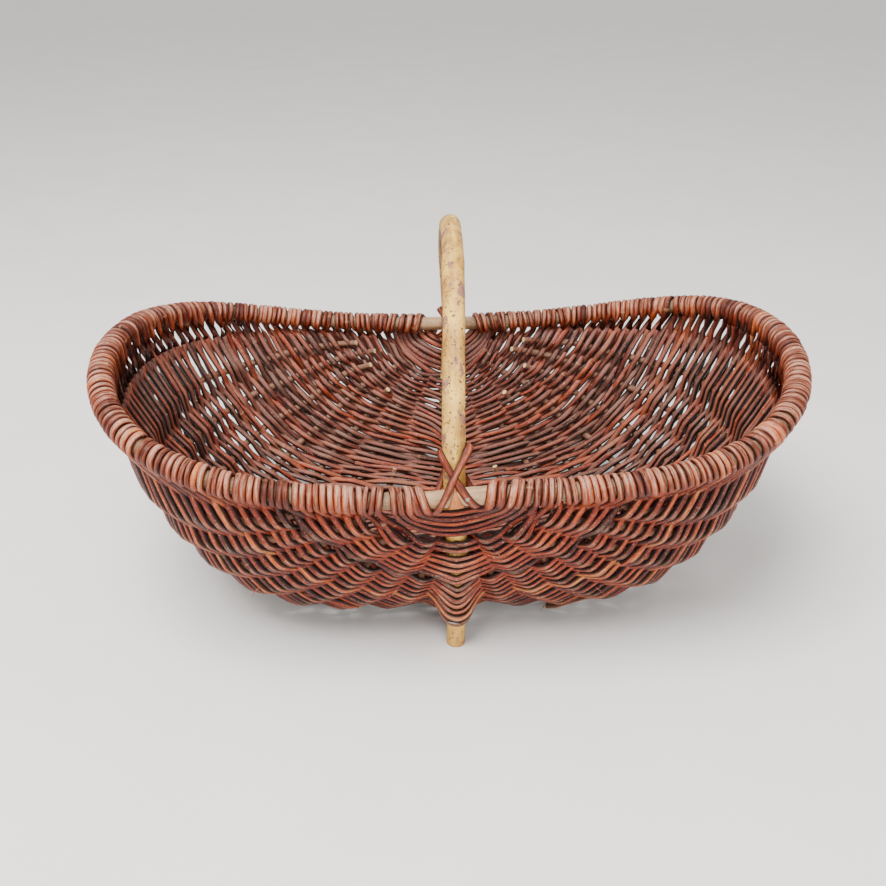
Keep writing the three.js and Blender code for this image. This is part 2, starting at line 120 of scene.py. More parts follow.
weave = {
    "rows": 136,  # between the seats
    "start": 0.0697,
    "seatEnd": 0.0944,  # share where the group of the front seat ends
    "wallEnd": 0.17,  # and where the group of the front wall ends
    "bands": 7,
    "spread": 0.4,  # how much rows draw together where the wall is wide
    "searched": 500,  # places at which its width is taken, and how many across
    "searchedAcross": 21,
    "radius": 1.3,  # of a rod, without what it grows with the space between rows
    "growth": 0.28,
    "thickest": 2.95,
    "rodSpread": 0.13,  # how much rods differ in thickness
    "rodLength": (900.0, 1500.0),
    "before": 600.0,  # the first rod may begin this far before its line
    "tone": (0.5, 0.22),  # mean and spread
    "butt": 1.1,  # size at a rod's thick end, and how much of that is gone at its tip
    "taper": 0.2,
    "chance": 0.15,  # how far a row strays from its place, in spaces
    "runSpread": 900.0,  # the grain of each line begins somewhere within this length
    "rowStep": 2.6,  # distance between the rings of a rod
    "turnStep": 2.1,
    "pressed": (1.1, 0.92),  # how wide and how thick a rod lies in the weave
    "bendAtRib": 2.4,
    "bendAtLeg": 7.0,
    "bendAtRim": 0.5,
    "settled": 0.85,  # how far a rod's middle lies off a rib, in its own radius
    "offRim": 5.0,  # how far it lies off the middle of the wall where the rim begins
    "shortOfRim": 9.0,
    "places": 420,  # along a row
    "budLength": 1.9,
    "budSpace": (28.0, 60.0),
    "firstBud": 30.0,
    "budSize": (0.4, 1.0),
    "budReach": 8.0,
    "swelling": 0.12,  # at a bud
    "hang": {  # rows hang this much lower near the seats
        "front": [(0.07, 0.0155), (0.1, 0.012), (0.15, 0.007), (0.22, 0.002), (0.26, 0.0)],
        "back": [(0.07, 0.001), (0.12, 0.002), (0.2, 0.001), (0.26, 0.0)],
    },
    "dips": {  # and lower or higher about the handle: width of the dip, and its depth by share
        "front": [
            (50.0, [(0.07, -0.0125), (0.12, -0.006), (0.2, 0.0)]),
            (16.0, [(0.07, 0.0085), (0.12, 0.008), (0.2, 0.004), (0.26, 0.0)]),
        ],
        "back": [(30.0, [(0.07, 0.013), (0.12, 0.012), (0.2, 0.008), (0.3, 0.0)])],
    },
    "wander": 0.0015,  # of a row from its place
    "driftingWaves": ((0.5, 9, 60), (0.4, 23, -110)),  # these drift on from row to row
    "chanceWaves": ((0.35, 15), (0.3, 37)),  # and these start anywhere
    "sides": 8,
}


# Shapes
def unit(v):
    return v / np.maximum(np.linalg.norm(v, axis=-1, keepdims=True), 1e-9)


def bell(distance, width):
    return np.exp(-((distance / width) ** 2))


# Waves added to a value: the height of each, how often it comes and where it starts
def waved(value, along, *waves):
    for height, often, start in waves:
        value = value + height * np.sin(along * often + start)
    return value


def rimHeight(x):
    return rim["midHeight"] + rim["endRise"] * (np.abs(x) / rim["halfLength"]) ** rim["risePower"]


# How far out a place in plan lies: 0 in the middle, 1 on the rim
def reachAt(x, y):
    low = np.zeros_like(x)
    high = np.full_like(x, 1.2)  # nothing lies farther out than this
    for halving in range(40):
        reach = (low + high) / 2
        long = (np.abs(x) / (reach * rim["halfLength"])) ** rim["endRoundness"]
        wide = (np.abs(y) / (reach * rim["halfWidth"])) ** rim["sideRoundness"]
        beyond = long + wide > 1
        low = np.where(beyond, reach, low)
        high = np.where(beyond, high, reach)
    return high


def bowlHeight(x, y):
    reach = reachAt(x, y)
    rimX = np.minimum(np.abs(x) / reach, rim["halfLength"])
    mix = (rimX / rim["halfLength"]) ** 2
    fullness = bowl["sideFullness"] * (1 - mix) + bowl["endFullness"] * mix
    return bowl["floor"] + (rimHeight(rimX) - bowl["floor"]) * reach ** fullness


def lengthsAlong(points):
    steps = np.linalg.norm(np.diff(points, axis=0), axis=1)
    return np.concatenate([[0.0], np.cumsum(steps)])


def placesAlong(points, shares):
    run = lengthsAlong(points)
    wanted = np.asarray(shares) * run[-1]
    return np.stack([np.interp(wanted, run, points[:, i]) for i in range(3)], axis=-1)


# A smooth line through points, as a centripetal Catmull-Rom spline
def smoothLine(points, perSpan):
    points = np.asarray(points, float)
    p = np.vstack([2 * points[0] - points[1], points, 2 * points[-1] - points[-2]])
    line = []
    for i in range(1, len(p) - 2):
        knots = [0.0]
        for a, b in ((0, 1), (1, 2), (2, 3)):
            knots.append(knots[-1] + np.sqrt(np.linalg.norm(p[i - 1 + b] - p[i - 1 + a])))
        t = np.linspace(knots[1], knots[2], perSpan, endpoint=False)[:, None]

        def between(a, b, ta, tb):
            return a * (tb - t) / (tb - ta) + b * (t - ta) / (tb - ta)

        a1 = between(p[i - 1], p[i], knots[0], knots[1])
        a2 = between(p[i], p[i + 1], knots[1], knots[2])
        a3 = between(p[i + 1], p[i + 2], knots[2], knots[3])
        b1 = between(a1, a2, knots[0], knots[2])
        b2 = between(a2, a3, knots[1], knots[3])
        line.append(between(b1, b2, knots[1], knots[2]))
    return np.vstack(line + [points[-1:]])


def legPoint(z, way):
    spread = bow["footHalfSpread"]
    y = spread + (bow["legTop"] - spread) * z / rim["midHeight"]
    return np.array([0.0, way * y, z])


def rimLine():
    way = np.linspace(-1, 1, 2 * rim["places"] - 1)
    angle = pi / 2 * np.sin(pi / 2 * way)
    x = rim["halfLength"] * np.maximum(np.cos(angle), 0) ** (2 / rim["endRoundness"])
    y = rim["halfWidth"] * np.sign(angle) * np.abs(np.sin(angle)) ** (2 / rim["sideRoundness"])
    return np.stack([x, y, rimHeight(x)], axis=-1)


def middleLine():
    turn = bow["turnHeight"]
    spread = bow["footHalfSpread"]
    low = bowl["floor"]
    top = rim["midHeight"]
    high, near = bow["onLeg"]
    half = [legPoint(z, -1) for z in (top, top * high, turn + (top - turn) * near, turn)]
    half += [[0, -out * spread, low + (turn - low) * up] for out, up in bow["underBelly"]]
    back = [[0, -p[1], p[2]] for p in reversed(half)]
    return smoothLine(half + [[0, 0, low]] + back, 24)


# The basket isn't quite true: the handle leans to the left over its front seat and to the right over
# the back one, and the front of the rim is a little higher to the right of it than to the left
settled = {
    "front": {"lean": -5.0, "height": 205.0, "reach": 82.0, "shift": 0.7},
    "back": {"lean": 6.5, "height": 172.0, "reach": 90.0},
    "top": {"lean": 1.5, "height": 250.0},
    "start": 5.0,  # the front and the back begin this far from the middle
    "leanWidth": 24.0,  # only what lies this near the middle leans
    "rim": {"rise": 0.5, "tilt": 2.6, "turn": 25.0, "width": 150.0, "height": 90.0},
    "over": 50.0,  # each of these sets in over this length
}


def settle(points):
    x, y, z = points[..., 0], points[..., 1], points[..., 2]

    def beyond(value, start):
        return np.clip((value - start) / settled["over"], 0, 1)

    front, back, top, edge = (settled[name] for name in ("front", "back", "top", "rim"))
    inFront = beyond(-y, settled["start"])
    lean = inFront * (front["shift"] + front["lean"] * bell(z - front["height"], front["reach"]))
    inBack = beyond(y, settled["start"])
    lean = lean + inBack * back["lean"] * bell(z - back["height"], back["reach"])
    lean = lean + top["lean"] * beyond(z, top["height"])
    rise = edge["rise"] + edge["tilt"] * np.tanh(x / edge["turn"])
    moved = points.copy()
    moved[..., 0] = x + lean * bell(x, settled["leanWidth"])
    moved[..., 2] = z + inFront * beyond(z, edge["height"]) * rise * bell(x, edge["width"])
    return moved


rimRight = rimLine()
middle = middleLine()


# Where in plan the wall beside the handle is only a little higher than the handle's line at this place
def wallBeside(low):
    y = np.linspace(0.02, 1.0, bowl["wallPlaces"]) * abs(low[1])
    heights = bowlHeight(np.zeros_like(y), y)
    wanted = min(heights[-1], low[2] + bowl["stepUp"])
    beside = np.interp(wanted, heights, y)
    return np.copysign(beside, low[1]), wanted, heights[-1] - low[2]


# The bowl as a table: courses from front to back, each from the middle line out to the rim
def bowlTable():
    shares = np.linspace(0, 1, bowl["courses"])
    parts = np.linspace(0, 1, bowl["columns"])
    lows = placesAlong(middle, shares)
    highs = placesAlong(rimRight, shares)
    steps = np.linspace(0, 1, bowl["places"])[:, None]
    table = np.zeros((len(shares), len(parts), 3))
    for i, (low, high) in enumerate(zip(lows, highs)):
        beside, height, outside = wallBeside(low)
        start = np.array([0.0, beside, height])
        line = start + (high - start) * steps
        line[:, 2] = bowlHeight(line[:, 0], line[:, 1])
        proud = np.clip(outside / bowl["proud"], 0, 1)
        keel = bowl["keelHalfWidth"] * (1 - proud) + bowl["legHalfWidth"] * proud
        keel = max(min(keel, high[0]), 1e-6)
        inKeel = np.maximum(1 - line[:, 0] / keel, 0)[:, None]
        line = line + (low - start) * inKeel ** 2
        table[i] = placesAlong(line, parts)
    for smoothing in range(bowl["smoothings"]):
        table[1:-1] = (table[:-2] + 2 * table[1:-1] + table[2:]) / 4
    for j in range(1, len(parts) - 1):
        run = lengthsAlong(table[:, j])
        evened = run / run[-1] * (1 - bowl["even"]) + shares * bowl["even"]
        table[:, j] = placesAlong(table[:, j], evened)
    across = np.gradient(table, axis=1)
    along = np.gradient(table, axis=0)
    outward = unit(np.cross(along, across))
    flip = np.sum(outward * (table - [0, 0, rim["midHeight"]]), axis=-1, keepdims=True) < 0
    outward = np.where(flip, -outward, outward)
    outward[:, 0, 0] = 0
    outward[0] = outward[1]
    outward[-1] = outward[-2]
    return table, unit(outward)


bowlPoints, bowlOutward = bowlTable()


# Places and outward directions at signed parts of the way to the rim and shares of the way to the back
def spot(part, share):
    part, share = np.broadcast_arrays(np.asarray(part, float), np.asarray(share, float))
    rows, columns = bowlPoints.shape[:2]
    v = np.clip(share, 0, 1) * (rows - 1)
    u = np.clip(np.abs(part), 0, 1) * (columns - 1)
    v0 = np.minimum(v.astype(int), rows - 2)
    u0 = np.minimum(u.astype(int), columns - 2)
    fv = (v - v0)[..., None]
    fu = (u - u0)[..., None]
    result = []
    for grid in (bowlPoints, bowlOutward):
        front = grid[v0, u0] * (1 - fu) + grid[v0, u0 + 1] * fu
        back = grid[v0 + 1, u0] * (1 - fu) + grid[v0 + 1, u0 + 1] * fu
        value = front * (1 - fv) + back * fv
        value[..., 0] = np.where(part < 0, -value[..., 0], value[..., 0])
        result.append(value)
    return result[0], unit(result[1])


def columnPart(j):
    spaces = ribs["perSide"] - 1 + ribs["middleSpace"] + ribs["rimSpace"]
    if j == 0:
        return 0.0
    return np.sign(j) * (abs(j) - 1 + ribs["middleSpace"]) / spaces


# Meshes
# Rings round a line, wide across it and thick along its outward direction
def ringsAlong(points, outward, width, thick, sides, closed=False):
    if closed:
        along = unit(np.roll(points, -1, axis=0) - np.roll(points, 1, axis=0))
    else:
        along = unit(np.gradient(points, axis=0))
    out = unit(outward - np.sum(outward * along, axis=1, keepdims=True) * along)
    side = np.cross(along, out)
    angles = np.arange(sides) / sides * 2 * pi
    width = np.broadcast_to(width, len(points))[:, None, None]
    thick = np.broadcast_to(thick, len(points))[:, None, None]
    across = side[:, None, :] * np.cos(angles)[None, :, None] * width
    return points[:, None, :] + across + out[:, None, :] * np.sin(angles)[None, :, None] * thick


cutEnd = {"inset": 0.84, "depth": 0.14}


# Gathers strands into one mesh. What the materials need to know travels with the points as marks:
# tone of the rod, run along it, rub (which also sets a painted highlight), bud, bound to the rim, cut
# wood, the place round the rod and how much it looks up (which sets painted top light and shade).
class Strands:
    names = ("tone", "run", "rub", "bud", "bound", "cut", "across", "outside", "up")

    def __init__(self, sides):
        self.sides = sides
        self.points = []
        self.faces = []
        self.flats = []
        self.marks = {name: [] for name in self.names}
        self.count = 0

    def ring(self, points, values, cut=0.0):
        angles = np.arange(self.sides) / self.sides * 2 * pi
        fromMiddle = points - points.mean(axis=1, keepdims=True)
        self.points.append(points.reshape(-1, 3))
        n = len(points.reshape(-1, 3)) // self.sides
        for name in self.names:
            if name == "across":
                value = np.tile(np.cos(angles), n)
            elif name == "outside":
                value = np.tile(np.sin(angles), n)
            elif name == "up":
                value = unit(fromMiddle)[..., 2].reshape(-1)
            elif name == "cut":
                value = np.full(n * self.sides, cut)
            else:
                value = np.repeat(np.broadcast_to(values.get(name, 0.0), n), self.sides)
            self.marks[name].append(value)
        self.count += n * self.sides

    # cuts says which ends are cut and show bare wood; the others lie against the next piece
    def add(self, rings, values, cuts=(True, True), closed=False):
        n, sides = rings.shape[:2]
        base = self.count
        self.ring(rings, values)
        ring = np.arange(n if closed else n - 1)[:, None]
        j = np.arange(sides)[None, :]
        k = (j + 1) % sides
        here = base + ring * sides
        there = base + ((ring + 1) % n) * sides
        quads = np.stack([here + j, there + j, there + k, here + k], axis=-1).reshape(-1, 4)
        self.faces.extend(quads.tolist())
        self.flats.extend([False] * len(quads))
        if closed:
            return
        for index, cut in ((0, cuts[0]), (n - 1, cuts[1])):
            edge = [base + index * sides + i for i in range(sides)]
            if cut:
                edge = self.chamfer(rings, values, index, edge)
            self.faces.append(edge if index == 0 else edge[::-1])
            self.flats.append(True)

    def chamfer(self, rings, values, index, edge):
        ring = rings[index]
        centre = ring.mean(axis=0)
        beside = rings[1 if index == 0 else index - 1].mean(axis=0)
        size = np.linalg.norm(ring - centre, axis=1).max()
        small = centre + (ring - centre) * cutEnd["inset"] + unit(centre - beside) * cutEnd["depth"] * size
        picked = {name: value[index] if np.ndim(value) else value for name, value in values.items()}
        first = self.count
        self.ring(small[None], picked, cut=1.0)
        for i in range(self.sides):
            k = (i + 1) % self.sides
            quad = [edge[i], edge[k], first + k, first + i]
            self.faces.append(quad if index == 0 else quad[::-1])
            self.flats.append(False)
        return [first + i for i in range(self.sides)]

    def build(self, name, material, *nodes, slot=None):
        mesh = bpy.data.meshes.new(name)
        points = settle(np.vstack(self.points)) * millimetre
        mesh.from_pydata(points.tolist(), [], self.faces)
        for mark, values in self.marks.items():
            layer = mesh.attributes.new(mark, "FLOAT", "POINT")
            layer.data.foreach_set("value", np.concatenate(values).astype(np.float32))
        mesh.polygons.foreach_set("use_smooth", [not flat for flat in self.flats])
        mesh.materials.append(material)
        mesh.update()
        piece = bpy.data.objects.new(name, mesh)
        bpy.context.scene.collection.objects.link(piece)
        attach(piece, "root")
        if nodes:
            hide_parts(*nodes)
        return piece


# A piece that is one rod or strip by itself
def singleStrand(name, material, rings, values, *nodes, slot=None, **ends):
    strands = Strands(rings.shape[1])
    strands.add(rings, values, **ends)
    return strands.build(name, material, *nodes, slot=slot)


# Materials
class Wire:
    # one output of a node, so that shader maths reads as a plain expression
    def __init__(self, shader, socket):
        self.shader = shader
        self.socket = socket

    def maths(self, operation, first, second):
        return self.shader.node("ShaderNodeMath", {"operation": operation}, {0: first, 1: second})

    def __add__(self, other):
        return self.maths("ADD", self, other)

    def __radd__(self, other):
        return self.maths("ADD", other, self)

    def __mul__(self, other):
        return self.maths("MULTIPLY", self, other)

    def __rmul__(self, other):
        return self.maths("MULTIPLY", other, self)

    def __sub__(self, other):
        return self.maths("SUBTRACT", self, other)

    def __rsub__(self, other):
        return self.maths("SUBTRACT", other, self)

    def above(self, low, high):
        # 0 below low, 1 above high, smooth between
        settings = {"interpolation_type": "SMOOTHSTEP"}
        sockets = {"Value": self, "From Min": low, "From Max": high}
        return self.shader.node("ShaderNodeMapRange", settings, sockets)


class Shader:
    def __init__(self, owner):
        self.owner = owner
        owner.use_nodes = True
        self.tree = owner.node_tree
        self.tree.nodes.clear()

    # every node is made here: its type, its settings, then the values or links of its sockets
    def node(self, kind, settings=None, sockets=None, output=0):
        node = self.tree.nodes.new(kind)
        for key, value in (settings or {}).items():
            if key == "stops":
                self.setStops(node.color_ramp.elements, value)
            else:
                setattr(node, key, value)
        for key, value in (sockets or {}).items():
            self.feed(node.inputs[key], value)
        return Wire(self, node.outputs[output]) if len(node.outputs) else None

    def setStops(self, elements, stops):
        while len(elements) < len(stops):
            elements.new(0.5)
        for element, (position, colour) in zip(elements, stops):
            element.position = position
            element.color = (*colour, 1.0)

    def feed(self, socket, value):
        if isinstance(value, Wire):
            self.tree.links.new(value.socket, socket)
        elif isinstance(value, tuple) and len(value) == 3 and socket.type == "RGBA":
            socket.default_value = (*value, 1.0)
        else:
            socket.default_value = value

    def mark(self, name):
        return self.node("ShaderNodeAttribute", {"attribute_name": name}, output="Fac")

    def place(self):
        return self.node("ShaderNodeTexCoord", output="Object")

    def noise(self, scale, detail=2.0, rough=0.5, stretch=None, vector=None):
        vector = vector or self.place()
        if stretch:
            settings = {"vector_type": "POINT"}
            vector = self.node("ShaderNodeMapping", settings, {"Vector": vector, "Scale": stretch})
        sockets = {"Vector": vector, "Scale": scale, "Detail": detail, "Roughness": rough}
        return self.node("ShaderNodeTexNoise", {}, sockets)

    # noise drawn out along a strand and round it
    def grain(self, along, around, start=0.0, detail=3.0):
        vector = self.node("ShaderNodeCombineXYZ", {}, {
            "X": self.mark("run") * along + start,
            "Y": self.mark("across") * around,
            "Z": self.mark("outside") * around + self.mark("tone") * 37.0,
        })
        return self.noise(1.0, detail, 0.6, vector=vector)

    def blend(self, factor, low, high):
        sockets = {"Factor": factor, 6: low, 7: high}
        return self.node("ShaderNodeMix", {"data_type": "RGBA"}, sockets, output=2)

    def ramp(self, factor, stops):
        return self.node("ShaderNodeValToRGB", {"stops": stops}, {"Fac": factor})

    # the surface, with the values or links of its sockets, over a bump of this height
    def finish(self, sockets, height, distance=0.0004, strength=0.6):
        heights = {"Height": height, "Distance": distance, "Strength": strength}
        bump = self.node("ShaderNodeBump", {}, heights)
        surface = self.node("ShaderNodeBsdfPrincipled", {}, {**sockets, "Normal": bump})
        self.node("ShaderNodeOutputMaterial", {}, {"Surface": surface})
        return self.owner


def newMaterial(name):
    return Shader(bpy.data.materials.new(name))


# sRGB numbers from 0 to 255 as a linear colour
def paint(*colour):
    return tuple(c / 255 / 12.92 if c < 10.3 else ((c / 255 + 0.055) / 1.055) ** 2.4 for c in colour)


cutWood = paint(236, 206, 148)
weaveLook = {
    "stops": [
        (0.1, paint(46, 10, 6)),
        (0.28, paint(84, 19, 9)),
        (0.44, paint(128, 32, 10)),
        (0.58, paint(170, 54, 13)),
        (0.74, paint(202, 86, 26)),
        (0.9, paint(220, 150, 80)),
    ],
    # paler colour for the tops of the rods: painted top light, partly real bleaching
    "bleachedAndTopLit": paint(204, 122, 82),
    "dust": paint(134, 102, 88),
    # pale rubbed bark, also used as a painted highlight
    "wornAndHighlight": paint(226, 180, 138),
    "fleck": paint(246, 222, 184),
    # near-black painted shade for the undersides and crevices of the rods
    "dirtAndShade": paint(13, 3, 2),
    "crack": paint(60, 26, 20),
    "bud": paint(206, 156, 110),
}
# colours of the turns: a pale crest, partly rubbed mauve-grey bark and partly a painted sheen, and orange
# flanks whose dark end is painted shade
boundLook = {
    "crest": [
        (0.2, paint(76, 26, 13)),
        (0.38, paint(136, 72, 44)),
        (0.54, paint(174, 119, 93)),
        (0.68, paint(204, 160, 138)),
        (0.84, paint(172, 92, 40)),
    ],
    "flank": [
        (0.25, paint(28, 6, 3)),
        (0.45, paint(108, 32, 8)),
        (0.7, paint(184, 78, 22)),
    ],
}


# Willow bark: every rod has its own tone, with streaks along it, paler on top (painted top light, with
# some real bleaching), rubbed (partly a painted highlight) and flecked, with painted shade on the
# undersides and between rods.
# Bound round the rim it is pressed flat, mauve-grey along the crest (partly a painted sheen) and orange
# along its edges, darkened by painted shade between the turns.
def willowBark(name):
    s = newMaterial(name)
    tone = s.mark("tone")
    across = s.mark("across")
    outside = s.mark("outside")
    bound = s.mark("bound")
    up = s.mark("up")
    rub = s.mark("rub")
    bud = s.mark("bud")
    broad = s.grain(0.022, 0.7)
    streak = s.grain(0.1, 2.6, 3.0)
    fine = s.grain(0.6, 9.0, 7.0)
    crack = s.grain(1.1, 3.0, 11.0).above(0.58, 0.68)
    patch = s.grain(0.05, 1.2, 23.0)
    mix = tone * 0.5 + broad * 0.6 + streak * 0.8 + patch * 0.4 - 0.66
    rods = s.ramp(mix, weaveLook["stops"])
    # painted top light: rods paler where they face up, with some real bleaching along streaks and patches
    bleachedAndTopLit = (up * 0.5 + streak * 0.7 + broad * 0.5 - 0.55).above(0.25, 0.75)
    rods = s.blend(bleachedAndTopLit * 0.32, rods, weaveLook["bleachedAndTopLit"])
    # rubbed outer faces paler: real wear, partly a painted highlight along the rods
    wornAndHighlight = (rub * 0.5 + fine * 0.9 + streak * 0.5 - 1.0).above(0.1, 0.35) * outside.above(0.0, 0.6)
    rods = s.blend(wornAndHighlight * 0.4, rods, weaveLook["wornAndHighlight"])
    fleck = s.grain(0.8, 5.0, 19.0, 1.0).above(0.665, 0.72)
    rods = s.blend(fleck * 0.8, rods, weaveLook["fleck"])
    dust = (0 - outside).above(-0.1, 0.8) * broad.above(0.3, 0.6)
    rods = s.blend(dust * 0.68, rods, weaveLook["dust"])
    # painted shade: rods darker on their undersides
    shade = 1 - up.above(-0.9, 0.4)
    rods = s.blend(shade * 0.74, rods, weaveLook["dirtAndShade"])
    crest = s.ramp(streak * 1.0 + broad * 0.9 + patch * 0.9 + tone * 0.5 - 1.16, boundLook["crest"])
    flank = s.ramp(streak * 0.6 + fine * 0.4 + tone * 0.3 - 0.15, boundLook["flank"])
    # flank colour on the edges and undersides of the turns: partly bark colour, partly painted shade; the
    # pale crest is partly a painted sheen
    edge = across * across + fine * 0.6 + broad * 1.2 + patch * 1.2 + (1 - rub) * 0.7 - 1.66
    turns = s.blend(edge.above(0.05, 0.5), crest, flank)
    turns = s.blend(tone.above(0.6, 0.95) * broad.above(0.42, 0.6) * 0.8, turns, rods)
    # painted shade between the turns: their flanks darkened to near black
    turns = s.blend((across * across).above(0.42, 0.9) * 0.94, turns, weaveLook["dirtAndShade"])
    colour = s.blend(bound, rods, turns)
    colour = s.blend(crack * 0.45, colour, weaveLook["crack"])
    colour = s.blend(bud.above(0.55, 0.95) * 0.4, colour, weaveLook["bud"])
    # painted shade: rods darker on their flanks, where they lie against each other
    sides = (across * across).above(0.15, 0.76) * (1 - bound)
    colour = s.blend(sides * 0.94, colour, weaveLook["dirtAndShade"])
    sockets = {
        "Base Color": s.blend(s.mark("cut"), colour, cutWood),
        "Roughness": 0.3 + fine * 0.3 + crack * 0.25,
        "Coat Weight": 0.09 + wornAndHighlight * 0.2,
        "Coat Roughness": 0.28,
        "Specular IOR Level": 0.3,
    }
    height = streak * 0.6 + fine * 0.7 - crack * 0.6 + bud * 0.5
    return s.finish(sockets, height, distance=0.0007, strength=0.9)


rodBark = willowBark("rodBark")


# Old grey-brown bark of the ribs
def oldBark(name, dark, light):
    s = newMaterial(name)
    streak = s.grain(0.06, 2.0)
    fine = s.grain(0.4, 7.0, 5.0)
    patch = s.noise(60.0, 3.0, 0.6)
    mix = streak * 0.5 + patch * 0.4 + fine * 0.3 - 0.15 + s.mark("tone") * 0.15
    colour = s.ramp(mix, [(0.25, dark), (0.7, light)])
    # painted shade on the rim where the turns cover it
    colour = s.blend(s.mark("bound") * 0.55, colour, paint(74, 48, 34))
    speckle = s.noise(700.0, 1.0, 0.5).above(0.64, 0.74)
    colour = s.blend(speckle * 0.5, colour, paint(206, 184, 154))
    colour = s.blend(s.mark("cut"), colour, cutWood)
    sockets = {"Base Color": colour, "Roughness": 0.45 + fine * 0.35, "Specular IOR Level": 0.45}
    return s.finish(sockets, streak + fine * 0.7, strength=0.8)


ribBark = oldBark("ribBark", paint(58, 28, 18), paint(150, 104, 78))
rimBark = oldBark("rimBark", paint(112, 78, 50), paint(204, 164, 122))
splitWood = oldBark("splitWood", paint(116, 48, 14), paint(196, 118, 54))


handleLook = {
    "stops": [(0.36, paint(136, 82, 24)), (0.6, paint(250, 200, 98))],
    "patch": paint(146, 102, 92),
    "rings": paint(136, 92, 56),
    "pores": paint(88, 48, 26),
    "dirtAndShade": paint(138, 80, 28),
    "cut": paint(206, 172, 112),
    "dirtyBelow": (0.02, 0.08),  # metres over the ground
}


# The handle's smooth yellow bark with mauve patches and dark pores, and dirty feet
def handleBark():
    s = newMaterial("handleBark")
    broad = s.noise(26.0, 4.0, 0.6, stretch=(1.0, 1.0, 0.5))
    streak = s.noise(160.0, 3.0, 0.6, stretch=(1.0, 0.25, 0.25))
    patch = s.noise(105.0, 4.0, 0.7, stretch=(1.0, 0.6, 0.5)).above(0.55, 0.6)
    pores = s.noise(420.0, 1.0, 0.4).above(0.63, 0.7)
    rings = s.noise(230.0, 2.0, 0.5, stretch=(0.2, 1.0, 1.0)).above(0.62, 0.72)
    colour = s.ramp(broad * 0.6 + streak * 0.4, handleLook["stops"])
    colour = s.blend(patch * 0.9, colour, handleLook["patch"])
    colour = s.blend(rings * 0.35, colour, handleLook["rings"])
    colour = s.blend(pores * 0.85, colour, handleLook["pores"])
    overGround = s.node("ShaderNodeSeparateXYZ", {}, {0: s.place()}, output="Z")
    dirty = 1 - overGround.above(*handleLook["dirtyBelow"])
    colour = s.blend(dirty * (0.35 + patch * 0.3), colour, handleLook["dirtAndShade"])
    colour = s.blend(s.mark("cut"), colour, handleLook["cut"])
    sockets = {"Base Color": colour, "Roughness": 0.5 + broad * 0.2, "Specular IOR Level": 0.4}
    height = broad * 0.5 + streak * 0.5 - pores * 0.6 - rings * 0.3
    return s.finish(sockets, height, distance=0.0006)


handleWood = handleBark()


def nailSteel():
    s = newMaterial("nailSteel")
    spots = s.noise(1500.0, 2.0, 0.6)
    colour = s.ramp(spots, [(0.3, paint(88, 78, 72)), (0.7, paint(190, 184, 178))])
    sockets = {"Base Color": colour, "Roughness": 0.35 + spots * 0.3, "Metallic": 0.8}
    return s.finish(sockets, spots, distance=0.0001)


steel = nailSteel()
print("materials made")


# Frame rods
def makeRim():
    left = rimRight[::-1][1:-1] * [-1, 1, 1]
    line = np.vstack([rimRight, left, rimRight[:1]])
    count = rim["rings"]
    points = placesAlong(line, np.linspace(0, 1, count, endpoint=False))
    turn = np.arange(count) / count * 2 * pi
    size = rim["radius"] * waved(1, turn, *rim["swellings"])
    rings = ringsAlong(points, points * [1, 1, 0], size, size, rim["sides"], closed=True)
    # painted shade: it is darker under the binding, in the shade of the turns
    hidden = np.clip((np.abs(points[:, 0]) - rim["bare"]) / rim["bareEdge"], 0, 1)
    values = {"tone": 0.5, "run": lengthsAlong(points), "bound": hidden}
    singleStrand("rimRod", rimBark, rings, values, "rim", slot="rim", closed=True)


def handleLine():
    lean = atan((bow["legTop"] - bow["footHalfSpread"]) / rim["midHeight"])
    angle = lean
    # the arch runs on from the legs without a bend
    for approach in range(12):
        reach = bow["legTop"] / cos(angle)
        height = bow["rise"] / (1 + sin(angle))
        angle = atan(tan(lean) * height / reach)
    turns = np.linspace(-angle, pi + angle, bow["archPlaces"])
    arch = np.stack([
        np.zeros_like(turns),
        -reach * np.cos(turns),
        rim["midHeight"] + height * (sin(angle) + np.sin(turns)),
    ], axis=-1)
    feet = np.linspace(0, rim["midHeight"], bow["legPlaces"])[:-1]
    front = np.array([legPoint(z, -1) for z in feet])
    back = np.array([legPoint(z, 1) for z in feet[::-1]])
    return np.vstack([front, arch, back])


def makeHandle():
    points = handleLine()
    z = np.minimum(points[:, 2] / rim["midHeight"], 1)
    radius = bow["footRadius"] + (bow["radius"] - bow["footRadius"]) * z
    run = lengthsAlong(points)
    # slow swellings and a few old knots
    radius = radius * waved(1, run, *bow["swellings"])
    for knot in bow["knots"]:
        radius = radius + bow["knotSize"] * bell(run - knot, bow["knotLength"])
    sway = waved(0, run, *bow["sway"])
    sway = sway * np.clip(np.minimum(run, run[-1] - run) / bow["trueEnds"], 0, 1)
    points = points + sway[:, None] * [1, 0, 0]
    outward = np.tile([1.0, 0, 0], (len(points), 1))
    rings = ringsAlong(points, outward, radius, radius, bow["sides"])
    values = {"tone": 0.5, "run": run}
    piece = singleStrand("bowHandle", handleWood, rings, values, "handle", slot="handle")
    # both feet are sawn flat on the ground
    for vertex in piece.data.vertices:
        if vertex.co.z < bow["sawn"] * millimetre:
            vertex.co.z = 0.0


# Shares where each rib starts and ends: the first set in the seats, the others let in later
def ribEnds(side, j):
    if j % 2:
        return ribs["letIn"], 1 - ribs["backEnds"][side][j]
    late = ribs["lateOuter"] if j > 5 else 0.0
    return ribs["firstHead"] + late, 1 - ribs["firstHead"] - late


